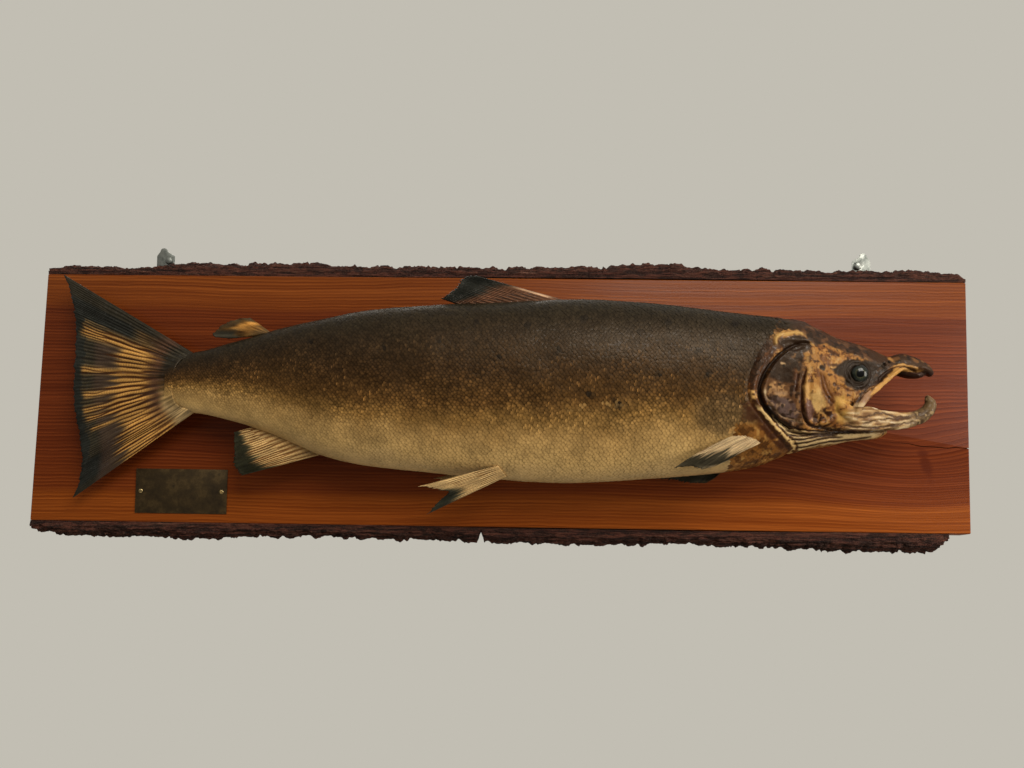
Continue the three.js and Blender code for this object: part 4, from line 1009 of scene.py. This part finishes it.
# ---- Fins --------------------------------------------------------------------------------------
# Each fin is a dried web between bony rays that branch towards its edge, stiffened and lacquered, with
# its root let into the body. The little fleshy fin on the tail's back has no rays.
# Points [x, distance from the board, z] of the root and of the margin, from the first ray to the last.
FINS = {
    "tail_fin": {
        "root": [(-352, 30, 49), (-371, 29, 40), (-377, 28, 16), (-372, 29, -8), (-352, 30, -17)],
        "margin": [(-521, 22, 145), (-510, 24, 116), (-506, 25, 92), (-503, 26, 55), (-502, 26, 18),
                   (-500, 25, -20), (-494, 24, -48), (-491, 22, -75), (-493, 20, -92), (-500, 19, -121)],
        "thick": 22.5, "flare": 7, "plain": 0.05, "edge": 2.2, "rays": 19, "columns": 440, "rows": 80,
        "fray": 0.022, "relief": 0.8,
        "light": (178, 132, 68), "dark": (58, 30, 11), "slate": (28, 30, 27)},
    "dorsal_fin": {
        "root": [(81, 52.5, 113.5), (23, 52.3, 109), (-34, 51.5, 104.5)],
        "margin": [(-26, 50, 143), (-43, 51, 141.5), (-47, 53, 131), (-56, 54, 122), (-64.5, 54, 115)],
        "thick": 6, "edge": 1.4, "rays": 12, "columns": 200, "rows": 50, "fray": 0.05, "relief": 0.55,
        "light": (112, 76, 54), "dark": (46, 27, 18), "slate": (28, 31, 28)},
    "adipose_fin": {
        "root": [(-262, 41, 75.5), (-271, 40.5, 73.5), (-280, 40, 70.8)],
        "margin": [(-287, 42, 92.5), (-305, 43, 91), (-322, 43, 82.5), (-332, 42.5, 70.5),
                   (-312, 41.5, 67.5)],
        "thick": 7, "edge": 3, "rays": 0, "columns": 60, "rows": 40, "fray": 0.05, "relief": 0.5,
        "cloudy": 0.5,
        "light": (142, 100, 48), "dark": (72, 44, 18), "slate": (50, 47, 38)},
    "anal_fin": {
        "root": [(-194, 46, -63.5), (-235, 43, -47), (-277, 39, -33.5)],
        "margin": [(-290, 48, -90), (-299, 48, -82), (-300, 47, -62), (-301, 44, -40.5)],
        "thick": 6, "edge": 1.4, "rays": 11, "columns": 200, "rows": 60, "fray": 0.04, "relief": 0.7,
        "light": (196, 162, 106), "dark": (96, 60, 28), "slate": (34, 34, 23)},
    "pelvic_fin_right": {
        "root": [(14, 71, -85), (10, 76.5, -79), (5, 82, -72.5)],
        "margin": [(-72, 85, -126.5), (-63, 86, -114), (-50, 87, -103), (-61, 89, -100), (-81, 90, -96)],
        "thick": 5, "edge": 1.3, "rays": 9, "columns": 160, "rows": 60, "fray": 0.05, "relief": 0.6,
        "light": (206, 176, 122), "dark": (100, 68, 34), "slate": (34, 36, 28)},
    # The far pelvic fin is painted a little darker than the near one, as shade.
    "pelvic_fin_left": {
        "root": [(14, 34, -85), (10, 28.5, -79), (5, 23, -72.5)],
        "margin": [(-66, 20, -118), (-57, 19, -108), (-47, 18, -101), (-58, 17, -97), (-74, 16, -92)],
        "thick": 5, "edge": 1.3, "rays": 9, "columns": 160, "rows": 60, "fray": 0.05, "relief": 0.6,
        "light": (190, 158, 106), "dark": (92, 62, 32), "slate": (34, 36, 28)},
    "pectoral_fin_right": {
        "root": [(289, 82.5, -25), (293, 80.5, -32.5), (294, 78.5, -41)],
        "margin": [(192, 99, -72), (208, 98, -71.5), (222, 97, -73.5), (240, 95, -68.5), (262, 93, -56)],
        "thick": 5, "bow": 5, "rise": 5, "edge": 1.4, "plain": 0.1, "rays": 17, "columns": 300, "rows": 70,
        "fray": 0.04, "relief": 0.5,
        "light": (232, 204, 156), "dark": (84, 58, 32), "slate": (48, 44, 32)},
    # The far pectoral fin's colours are painted much darker than the near one's, as shade: it lies behind the
    # belly, near the board.
    "pectoral_fin_left": {
        "root": [(288, 10, -30), (291, 13, -37), (292, 17, -45)],
        "margin": [(180, 17, -88), (205, 17, -92), (228, 17, -94.5), (246, 17, -93), (266, 16, -78)],
        "thick": 4, "edge": 1.4, "rays": 13, "columns": 200, "rows": 60, "fray": 0.04, "relief": 0.5,
        "light": (84, 68, 44), "dark": (44, 34, 22), "slate": (26, 28, 22)},
}
RAY_JOINTS = 240  # how closely the joints of the rays follow one another
SKIN_END = -386  # x up to which the tail's fleshy root takes the skin's marking
# Where the tail's gold runs out between its dark blotches: [share across, half width, reach].
GOLD_GAPS = [(0.262, 0.018, 0.93), (0.405, 0.017, 0.95), (0.5, 0.016, 0.92), (0.562, 0.02, 0.94),
             (0.602, 0.015, 0.93), (0.66, 0.012, 0.88), (0.225, 0.012, 0.7)]


def along_line(points, share):
    """Places along a smooth line through points, by their share of it."""
    rows = np.column_stack([np.linspace(0, 1, len(points)), np.array(points, float)])
    return np.stack([column(rows, k, share) for k in (1, 2, 3)], axis=1)


def fin_rays(fin, out, across):
    """1 on the middle of a ray and 0 on the web; each ray splits in two, and again near the edge."""
    if not fin["rays"]:
        return np.full(len(out), 0.5)
    seeds = np.stack([out * 3, across * 14, np.full(len(out), float(fin["rays"]))], axis=1)
    wander = across + (0.007 * noise(seeds, 1, 74) + 0.003 * noise(seeds * 3, 1, 75)) * ease(0, 0.3, out)
    splits = [np.cos(math.pi * wander * fin["rays"] * times) ** 2 for times in (1, 2, 4)]
    first = ease(0.22, 0.42, out)
    second = ease(0.62, 0.8, out)
    return splits[0] * (1 - first) + (splits[1] * (1 - second) + splits[2] * second) * first


def slate_share(name, out, across, streak, cloud):
    """How dark the fin is at a place: the tips and the rear edges are slate."""
    if name == "tail_fin":
        dark = ease(0.88, 0.92, out + 0.04 * streak)
        dark = np.maximum(dark, ease(0.245, 0.19, across + 0.02 * streak) * ease(0.3, 0.5, out))
        dark = np.maximum(dark, ease(0.72, 0.84, across) * ease(0.62, 0.78, out + 0.06 * streak))
        dark = np.maximum(dark, 0.85 * ease(0.55, 0.68, out + 0.1 * streak) * ease(0.25, 0.3, across))
        for gap_at, gap_width, gap_reach in GOLD_GAPS:
            gap = hump(across, gap_at, gap_width)
            dark = dark * (1 - 0.95 * gap * ease(gap_reach + 0.02, gap_reach - 0.04, out + 0.04 * cloud))
        return dark
    if name == "dorsal_fin":
        return ease(0.5, 0.72, out + 0.08 * streak + 0.1 * across)
    if name == "adipose_fin":
        tip = ease(0.45, 0.75, across + 0.15 * cloud) * ease(0.3, 0.6, out)
        return np.maximum(tip, 0.7 * ease(0.72, 0.95, out + 0.12 * streak)) + 0.4 * ease(0.35, 0.15, out)
    if name == "anal_fin":
        return ease(0.66, 0.84, out + 0.1 * streak + 0.12 * (1 - across))
    if name.startswith("pelvic"):
        return ease(0.5, 0.75, out + 0.1 * streak - 0.9 * np.maximum(across - 0.3, 0))
    tip = ease(0.56, 0.7, out + 0.1 * streak - 0.22 * ease(0.4, 0.0, across) + 0.14 * cloud)
    return tip * (1 - 0.6 * ease(0.3, 0.7, across) * ease(0.9, 0.98, out))


def fin_surface(name, fin):
    """The shape and the colours of a fin over a grid that folds round its margin."""
    def split(u, v):
        out = 1 - np.abs(2 * u - 1)
        seeds = np.stack([out * 1.2, v * fin["columns"] / 8, np.full(len(out), 3.0 + len(name))], axis=1)
        return out, noise(seeds, 0.6, 71), noise(seeds * (4, 0.6, 1), 1, 72)

    def shape(u, v):
        out, streak, cloud = split(u, v)
        rays = fin_rays(fin, out, v)
        frayed = 0.6 * np.abs(np.sin(math.pi * v * max(fin["rays"], 3) * 2)) ** 0.5
        frayed = frayed + 0.5 + 0.7 * noise(np.stack([v * 40, v * 0, v * 0], axis=1), 1, 73)
        ragged = fin["fray"] * ease(0, 0.05, v) * ease(1, 0.95, v) * frayed
        start = along_line(fin["root"], v)
        end = along_line(fin["margin"], v)
        middle = start + (end - start) * (out * (1 - ragged * out ** 3))[:, None]
        middle[:, 2] += fin.get("bow", 0) * 4 * out * (1 - out) * (1 - v)
        middle[:, 1] += fin.get("rise", 0) * np.sin(math.pi * out ** 0.6)
        root_share = (1 - out) ** fin.get("flare", 1.4)
        root_half = fin["thick"] * (0.4 + 0.6 * np.sin(math.pi * v) ** 0.7)
        half = (root_half * root_share + fin["edge"] * (1 - root_share)) / 2
        half += fin["relief"] * (rays - 0.5) * ease(0, 0.15, out) * ease(1, 0.9, out)
        half += 0.12 * fin["relief"] * np.sin(out * RAY_JOINTS + 5 * streak) * rays
        close = np.minimum(np.minimum(v, 1 - v) / 0.035, (1 - out) / 0.02)
        half *= np.sqrt(1 - (1 - np.clip(close, 0, 1)) ** 2)
        wave = 0.9 * np.sin(v * 17 + out * 3) * out ** 2
        y = FACE - middle[:, 1] + wave + np.where(u < 0.5, -half, half)
        return np.stack([middle[:, 0], np.minimum(y, FACE - GAP), middle[:, 2]], axis=1)

    def tint(u, v):
        out, streak, cloud = split(u, v)
        rays = fin_rays(fin, out, v)
        light, dark, slate = (np.array(fin[key], float) for key in ("light", "dark", "slate"))
        ray = ease(0.1, 0.8, rays + 0.42 * streak)
        ray = 0.62 + (ray - 0.62) * ease(-0.1, fin.get("plain", 0.4), out)
        colour = dark + (light - dark) * ray[:, None]
        colour *= (1 + fin.get("cloudy", 0.14) * cloud + 0.1 * np.sin(out * RAY_JOINTS + 5 * streak))[:, None]
        blend = slate_share(name, out, v, streak, cloud)[:, None]
        colour += blend * (slate * (1 + 0.22 * streak + 0.2 * (ray - 0.5))[:, None] - colour)
        lay = layer_on(colour)
        if name == "tail_fin":
            dark_share = blend[:, 0]
            glint = (ease(0.1, 0.6, streak) * ray * ease(0.09, 0.13, v))[:, None]
            lay(np.array((52, 40, 24)) + 90 * glint * (1, 0.78, 0.5),
                0.95 * (ease(0.25, 0.19, v + 0.01 * streak) * (1 - dark_share)))
            lay((38, 35, 27), ease(0.1, 0.07, v) + 0.8 * ease(0.95, 0.98, v) * ease(0.5, 0.65, out))
            lay((78, 54, 44), 0.5 * (ease(0.5, 0.58, out) * ease(0.84, 0.76, out) * ease(0.22, 0.3, v))
                * dark_share)
            lay(np.array((66, 44, 32)) * (1 + 0.35 * streak)[:, None],
                0.85 * (ease(0.34, 0.2, out + 0.06 * streak) * ease(0.98, 0.6, v + 0.05 * cloud)))
            at_root = shape(u, v)
            at_root[:, 0] = np.maximum(at_root[:, 0], SKIN_END)
            lay(255 * marking(at_root) ** 0.45 * (0.78 + 0.3 * cloud + 0.25 * streak)[:, None],
                ease(0.2, 0.1, out + 0.03 * streak))
        if name == "dorsal_fin":
            lay((206, 168, 132), hump(v, 0.045, 0.035) * ease(0.08, 0.2, out) * ease(0.62, 0.45, out))
        return linear(np.clip(colour, 0, 255))

    return shape, tint


fin_lacquer = lacquered("lacquered_fins", 700, 0.8, 0.4, 0.5)
for name, fin in FINS.items():
    shape, tint = fin_surface(name, fin)
    web = grid_piece(f"web_{name}", 2 * fin["rows"], fin["columns"], shape, tint=tint)
    web.data.shade_smooth()
    web.data.materials.append(fin_lacquer)
    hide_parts(name)
    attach(web, "root")

# ---- Board -------------------------------------------------------------------------------------
# One slab of softwood, planed and varnished, with sawn ends and long edges that keep their bark. Its
# heart is redder than the sapwood along both edges. A drying crack runs in from the right end.
BOARD_EDGE = 1.2
CRACK = [(452, -41), (476, -43), (505, -46.5), (532, -48), (560, -48.6)]  # X and Z along the face
CRACK_DEPTH, CRACK_WIDTH = 5, 0.9


def copy_of(node):
    """A copy of a node's mesh with its doubles merged and its flat faces whole, for bevels and cuts."""
    form = bmesh.new()
    form.from_mesh(nodes[node].data)
    bmesh.ops.remove_doubles(form, verts=form.verts, dist=1e-5)
    bmesh.ops.dissolve_limit(form, angle_limit=math.radians(0.5), verts=form.verts, edges=form.edges)
    return form


def bevelled(form, width, segments, sharper_than=30):
    """Eases the edges that are sharper than an angle."""
    edges = [edge for edge in form.edges
             if edge.is_manifold and edge.calc_face_angle() > math.radians(sharper_than)]
    bmesh.ops.bevel(form, geom=edges, offset=width * MM, offset_type="OFFSET", segments=segments,
                    profile=0.5, affect="EDGES", material=-1, clamp_overlap=True)


def soft_shading(piece, angle=40):
    """Smooth faces that meet at less than the angle."""
    piece.data.shade_smooth()
    form = bmesh.new()
    form.from_mesh(piece.data)
    for edge in form.edges:
        edge.smooth = len(edge.link_faces) == 2 and edge.calc_face_angle() < math.radians(angle)
    form.to_mesh(piece.data)
    form.free()


board_form = copy_of("board")
bevelled(board_form, BOARD_EDGE, 3)
board = finished(board_form, "slab")


def crack_places(u, v):
    """A thin wedge along the crack, deepest at its middle and open at the board's end."""
    line = np.array(CRACK, float)
    x = line[0, 0] + (line[-1, 0] - line[0, 0]) * v
    z = np.interp(x, line[:, 0], line[:, 1]) + 0.7 * noise(np.stack([x, 0 * x, 0 * x], axis=1), 9, 81)
    open_share = ease(0, 0.5, v)
    half = 0.5 * CRACK_WIDTH * (0.25 + 0.75 * open_share)
    return np.stack([x, FACE + np.sin(2 * math.pi * u) * CRACK_DEPTH * open_share,
                     z + np.cos(2 * math.pi * u) * half], axis=1)


cut(board, grid_piece("crack", 12, 60, crack_places))
soft_shading(board)

varnished_wood, tree, shader = new_material("varnished_softwood", Coat_Weight=0.04, Coat_Roughness=0.15,
                                             Specular_IOR_Level=0.1)
place = add_node(tree, "ShaderNodeTexCoord").outputs["Object"]
parted = add_node(tree, "ShaderNodeSeparateXYZ", {"Vector": place})
# The grain wanders a little and bends round a knot near the lower right corner.
drift = mapped(tree, noise_over(tree, place, (1.6, 6, 5), detail=2), 0.2, 0.8, -0.01, 0.01)
near_knot = add_node(tree, "ShaderNodeMapping", {
    "Vector": place, "Location": (0.49, 0, -0.066), "Scale": (0.16, 1, 0.07)}, vector_type="TEXTURE")
from_knot = add_node(tree, "ShaderNodeVectorMath", {0: near_knot.outputs["Vector"]}, operation="LENGTH")
pull = mapped(tree, from_knot.outputs["Value"], 0.05, 1.2, 0.03, 0, smooth=True)
high = maths(tree, "ADD", maths(tree, "ADD", parted.outputs["Z"], drift), pull)
bent = add_node(tree, "ShaderNodeCombineXYZ", {
    "X": parted.outputs["X"], "Y": parted.outputs["Y"], "Z": high}).outputs["Vector"]
# Paler sapwood along both edges, the upper one painted darker than the lower as shade, and the redder
# heart between them.
WOOD_BANDS = [(0.0, (172, 92, 30)), (0.12, (172, 92, 30)), (0.145, (146, 72, 26)), (0.3, (132, 62, 24)),
              (0.5, (130, 61, 25)), (0.72, (128, 60, 22)), (0.845, (124, 58, 21)), (0.87, (146, 76, 25)),
              (1.0, (148, 80, 28))]
wood_colour = ramp(tree, mapped(tree, high, -0.15, 0.15, 0, 1), WOOD_BANDS)
# Growth lines a few millimetres apart, fine pores along them, and slow changes of tone.
lines = add_node(tree, "ShaderNodeTexWave", {
    "Vector": bent, "Scale": 78, "Distortion": 3, "Detail": 2, "Detail Scale": 0.35},
    wave_type="BANDS", bands_direction="Z", wave_profile="SAW").outputs["Fac"]
streaks = noise_over(tree, bent, (3, 60, 160), detail=5, roughness=0.62)
pores = noise_over(tree, bent, (22, 200, 900))
lined = maths(tree, "MULTIPLY", lines, mapped(tree, streaks, 0.35, 0.6, 0.35, 1))
dark_wood = mixed(tree, 1, wood_colour, (0.36, 0.26, 0.2, 1), "MULTIPLY")
grained = mixed(tree, lined, wood_colour, dark_wood)
fine_streaks = noise_over(tree, bent, (2, 60, 520), detail=3, roughness=0.7)
broad_streaks = noise_over(tree, bent, (0.8, 12, 44), detail=2)
shaded = mixed(tree, mapped(tree, broad_streaks, 0.38, 0.6, 0.3, 0, smooth=True), grained, dark_wood)
toned = mixed(tree, mapped(tree, fine_streaks, 0.4, 0.62, 0.6, 0), shaded, dark_wood)
KNOT_MARK = {"Location": (0.507, 0, -0.068), "Rotation": (0, math.radians(-17), 0),
             "Scale": (0.0065, 1, 0.018)}
mark_place = add_node(tree, "ShaderNodeMapping", {"Vector": place, **KNOT_MARK}, vector_type="TEXTURE")
from_mark = add_node(tree, "ShaderNodeVectorMath", {0: mark_place.outputs["Vector"]}, operation="LENGTH")
ragged_mark = maths(tree, "ADD", from_mark.outputs["Value"], mapped(tree, streaks, 0.3, 0.7, -0.5, 0.5))
knotted = mixed(tree, mapped(tree, ragged_mark, 0.5, 1.4, 0.95, 0, smooth=True), toned, dark_wood)
tree.links.new(mixed(tree, mapped(tree, pores, 0.35, 0.62, 0.3, 0), knotted, dark_wood),
               shader.inputs["Base Color"])
tree.links.new(mapped(tree, streaks, 0.3, 0.7, 0.42, 0.28), shader.inputs["Roughness"])
bumped(tree, shader, maths(tree, "SUBTRACT", pores, lined), 0.25)
board.data.materials.append(varnished_wood)
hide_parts("board")
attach(board, "root")

# ---- Bark --------------------------------------------------------------------------------------
# A strip of bark is left on each long edge of the board. It breaks off in long thin layers, so that its
# outer line is ragged, and a narrow notch has broken out of the lower strip.
BOARD_HALF = 149.5  # from the middle of the board to the bark
# Points of the bark's outer line: [x, how far it reaches from the wood].
BARK_TOP = [(-554.2, 9.5), (-536, 14), (-440, 12.5), (-415, 17.5), (-250, 20), (-125, 16.5), (60, 15.5),
            (130, 16), (140, 20), (222, 21.5), (260, 16), (405, 16), (545, 16), (558, 10)]
BARK_BOTTOM = [(-561.8, 15), (-480, 21), (-358, 22), (-237, 18.5), (-23, 18.5), (-19, 7), (-17.5, 7),
               (-14, 20), (125, 20.5), (244, 19), (340, 23), (522, 23.5), (533, 12)]
WANEY_LEAN = 5
# Corners round the section from the face's edge outwards: share of the way, y, and distance from the
# board's edge in millimetres and as a share of the reach.
BARK_CORNERS = [0, 0.14, 0.34, 0.58, 0.64, 0.78, 1]
BARK_Y = [FACE + 1, FACE + 0.4, FACE + 6, -5, -0.7, -0.7, FACE + 1]
BARK_NEAR = [0.3, 0, 0, 0, 0, WANEY_LEAN - 1.2, 0.3]
BARK_REACH = [0, 0.45, 0.72, 1, 0.94, 0, 0]


def terraced(places, size, seed, steps):
    """Noise in flat steps, like layers that have broken away."""
    return np.round(noise(places, size, seed) * steps) / steps


def bark_surface(table, side):
    """The shape of a strip of bark, of the section's corners above and worn in layers."""
    def surface(u, v):
        x = table[0][0] + (table[-1][0] - table[0][0]) * v
        edge = BOARD_HALF + 0.9 * np.sin(x / 140 + 0.6)
        along = np.stack([x, np.full(len(x), 7.0 * side), x * 0], axis=1)
        chips = 2.4 * terraced(along, 11, 91, 2) + 1.7 * noise(along, 4, 92) + 0.9 * noise(along, 1.9, 93)
        reach = np.maximum(column(table, 1, x) + chips * ease(0, 0.02, v) * ease(1, 0.98, v), 3)
        y = np.interp(u, BARK_CORNERS, BARK_Y)
        share = np.interp(u, BARK_CORNERS, BARK_REACH)
        near = np.interp(u, BARK_CORNERS, BARK_NEAR)
        layers = np.stack([x * 0.13, y * 1.0, (near + share * reach) * 1.2 + 40 * side], axis=1)
        worn = 2.3 * terraced(layers, 2.6, 94, 2.5) + 1.1 * noise(layers * (3, 1, 1), 1.4, 95)
        worn = worn * ease(0, 0.3, share)
        outward = near + share * reach + 0.75 * worn
        y = y - 0.8 * worn * ease(0.62, 0.4, u)
        return np.stack([x, np.clip(y, FACE - 2.2, -0.6), side * (edge + np.maximum(outward, 0.2))], axis=1)
    return surface


old_bark, tree, shader = new_material("old_bark", Specular_IOR_Level=0.2)
place = add_node(tree, "ShaderNodeTexCoord").outputs["Object"]
layers = noise_over(tree, place, (14, 160, 420), detail=6, roughness=0.7)
flakes = noise_over(tree, place, (60, 120, 240), detail=4, roughness=0.6)
grit = noise_over(tree, place, (700, 700, 700))
bark_colour = ramp(tree, layers, [(0.34, (14, 6, 5)), (0.46, (52, 23, 17)), (0.54, (98, 56, 42)),
                                  (0.6, (40, 19, 14)), (0.68, (132, 90, 72)), (0.8, (56, 28, 21))])
patched = mixed(tree, mapped(tree, flakes, 0.43, 0.52, 0.75, 0, smooth=True), bark_colour,
                shade_values((22, 11, 9)))
tree.links.new(mixed(tree, mapped(tree, grit, 0.45, 0.7, 0, 0.4), patched, shade_values((104, 78, 64))),
               shader.inputs["Base Color"])
tree.links.new(mapped(tree, grit, 0.3, 0.7, 0.75, 0.95), shader.inputs["Roughness"])
bumped(tree, shader, maths(tree, "ADD", layers, maths(tree, "MULTIPLY", flakes, 0.6)), 5, 1)
for name, table, side in (("bark_top", BARK_TOP, 1), ("bark_bottom", BARK_BOTTOM, -1)):
    strip = grid_piece(f"ragged_{name}", 44, 640, bark_surface(table, side))
    strip.data.shade_smooth()
    strip.data.materials.append(old_bark)
    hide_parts(name)
    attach(strip, "root")

# ---- Name plate --------------------------------------------------------------------------------
# A thin brass plate on the lower left of the board, gone brown and left bare, held by two small
# round-headed screws that are still bright.
PLATE_EDGE = 0.35
SCREW_STEPS = 24
SLOT_WIDTH, SLOT_DEPTH = 0.8, 0.7
# Half of a screw head's section: [share of the radius, share of the height].
SCREW_PROFILE = [(0, 0), (0.9, 0), (1, 0.18), (0.93, 0.5), (0.72, 0.8), (0.4, 0.95), (0, 1)]


def screw_head(name, node, facing, turn):
    """A round slotted head in the place of a node. It faces -Y or +Y, and its slot is turned."""
    low, high = (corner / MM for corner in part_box(node))
    middle = (low + high) / 2
    radius = (high.x - low.x) / 2
    rise = high.y - low.y
    form = bmesh.new()
    ends = [form.verts.new((radius * r, 0, rise * h)) for r, h in SCREW_PROFILE]
    for first, second in zip(ends[:-1], ends[1:]):
        form.edges.new((first, second))
    bmesh.ops.spin(form, geom=form.verts[:] + form.edges[:], axis=(0, 0, 1), cent=(0, 0, 0),
                   angle=2 * math.pi, steps=SCREW_STEPS, use_merge=True)
    bmesh.ops.remove_doubles(form, verts=form.verts, dist=1e-4)
    bmesh.ops.recalc_face_normals(form, faces=form.faces)
    tool = bmesh.new()
    bmesh.ops.create_cube(tool, size=1)
    bmesh.ops.scale(tool, verts=tool.verts, vec=(3 * radius, SLOT_WIDTH * radius / 2.8, SLOT_DEPTH * 2))
    bmesh.ops.rotate(tool, verts=tool.verts, matrix=Matrix.Rotation(turn, 3, "Z"))
    bmesh.ops.translate(tool, verts=tool.verts, vec=(0, 0, rise))
    foot = low.y if facing > 0 else high.y
    stand = (Matrix.Scale(MM, 4) @ Matrix.Translation((middle.x, foot, middle.z))
             @ Matrix.Rotation(math.radians(-90 * facing), 4, "X"))
    for piece_form in (form, tool):
        bmesh.ops.transform(piece_form, matrix=stand, verts=piece_form.verts)
    head = finished(form, name)
    cut(head, finished(tool, "slot"))
    soft_shading(head, 50)
    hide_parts(node)
    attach(head, "root")
    return head


def metal(name, colours, low_rough, high_rough, spot_scale, **shader_values):
    """Metal in two tones that run into each other in spots, duller where it is darker."""
    material, tree, shader = new_material(name, **shader_values)
    place = add_node(tree, "ShaderNodeTexCoord").outputs["Object"]
    spots = noise_over(tree, place, (spot_scale,) * 3, detail=6, roughness=0.65)
    scratches = noise_over(tree, place, (60, 60, 2400), detail=2)
    tree.links.new(ramp(tree, spots, colours), shader.inputs["Base Color"])
    tree.links.new(mapped(tree, spots, 0.35, 0.65, high_rough, low_rough), shader.inputs["Roughness"])
    bumped(tree, shader, maths(tree, "ADD", spots, scratches), 0.08, 0.5)
    return material


aged_brass = metal("aged_brass", [(0.3, (46, 36, 22)), (0.5, (70, 56, 34)), (0.62, (92, 74, 46)),
                                  (0.75, (56, 47, 31))], 0.4, 0.62, 70, Metallic=0.75)
bright_brass = metal("bright_brass", [(0.35, (150, 128, 84)), (0.6, (206, 184, 132))], 0.2, 0.38, 240,
                     Metallic=1.0)
plate_form = copy_of("name_plate")
bevelled(plate_form, PLATE_EDGE, 2)
plate = finished(plate_form, "brass_plate")
soft_shading(plate)
plate.data.materials.append(aged_brass)
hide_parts("name_plate")
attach(plate, "root")
for side, turn in (("left", 0.5), ("right", 2.1)):
    screw = screw_head(f"round_screw_{side}", f"plate_screw_{side}", -1, turn)
    screw.data.materials.append(bright_brass)

# ---- Hangers -----------------------------------------------------------------------------------
# Two galvanised straps are let into the back of the board, each held by two slotted screws, and each
# hangs by the eye at its top on a screw in the wall.
STRAP_EDGE = 0.35
galvanised = metal("galvanised_steel", [(0.3, (92, 96, 92)), (0.45, (128, 132, 126)), (0.6, (150, 153, 146)),
                                        (0.75, (108, 108, 100))], 0.38, 0.6, 160, Metallic=0.9)
for side in ("left", "right"):
    for node in (f"hanger_{side}", f"wall_screw_{side}"):
        form = copy_of(node)
        bevelled(form, STRAP_EDGE, 2, 40)
        fitting = finished(form, f"galvanised_{node}")
        soft_shading(fitting)
        fitting.data.materials.append(galvanised)
        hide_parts(node)
        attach(fitting, "root")
    for number, turn in ((1, 0.9), (2, 2.4)):
        screw = screw_head(f"strap_screw_{side}_{number}", f"hanger_screw_{side}_{number}", 1, turn)
        screw.data.materials.append(galvanised)

# ---- Studio ------------------------------------------------------------------------------------
# A plain pale surround and a pale floor well below. The light is soft: a wide lamp above the front and
# to the right, a smaller one on the right at the fish's height, and a weak one above and behind.
FLOOR_DEPTH, FLOOR_RADIUS = 7, 14
SURROUND = (194, 190, 179)
floor_form = bmesh.new()
bmesh.ops.create_circle(floor_form, cap_ends=True, segments=64, radius=FLOOR_RADIUS,
                        matrix=Matrix.Translation((0, 0, -FLOOR_DEPTH)))
floor = finished(floor_form, "floor")
pale_floor, tree, shader = new_material("pale_floor", Roughness=0.9)
place = add_node(tree, "ShaderNodeTexCoord").outputs["Object"]
tree.links.new(ramp(tree, noise_over(tree, place, (2, 2, 2)), [(0, (206, 203, 194)), (1, (216, 213, 205))]),
               shader.inputs["Base Color"])
floor.data.materials.append(pale_floor)

world = bpy.data.worlds.new("pale_room")
world.use_nodes = True
tree = world.node_tree
tree.nodes["Background"].inputs["Color"].default_value = shade_values(SURROUND)
ray = add_node(tree, "ShaderNodeLightPath").outputs["Is Camera Ray"]
outward = add_node(tree, "ShaderNodeTexCoord").outputs["Generated"]
direction = add_node(tree, "ShaderNodeSeparateXYZ", {"Vector": outward})
glow = mapped(tree, direction.outputs["Z"], -0.4, 1, 0.12, 0.6, smooth=True)
room = add_node(tree, "ShaderNodeBackground", {"Color": (1, 0.95, 0.87, 1), "Strength": glow})
choice = add_node(tree, "ShaderNodeMixShader", {
    0: ray, 1: room.outputs[0], 2: tree.nodes["Background"].outputs[0]})
tree.links.new(choice.outputs[0], tree.nodes["World Output"].inputs["Surface"])
bpy.context.scene.world = world


def soft_light(name, place, target, width, height, power):
    """A rectangular lamp that faces a target."""
    lamp = bpy.data.lights.new(name, "AREA")
    lamp.shape = "RECTANGLE"
    lamp.size, lamp.size_y = width, height
    lamp.energy = power
    lamp.color = (1, 0.95, 0.88)
    holder = bpy.data.objects.new(name, lamp)
    holder.location = place
    holder.rotation_euler = (Vector(target) - Vector(place)).to_track_quat("-Z", "Y").to_euler()
    bpy.context.collection.objects.link(holder)


soft_light("upper_light", (1.4, -2.3, 1.9), (0, 0, 0), 2.2, 1.3, 90)
soft_light("right_light", (2.4, -1.1, 0.1), (0.5, 0, -0.1), 1.0, 1.2, 30)
soft_light("rear_light", (-0.6, 1.4, 1.2), (0, 0, 0), 1.6, 0.8, 14)
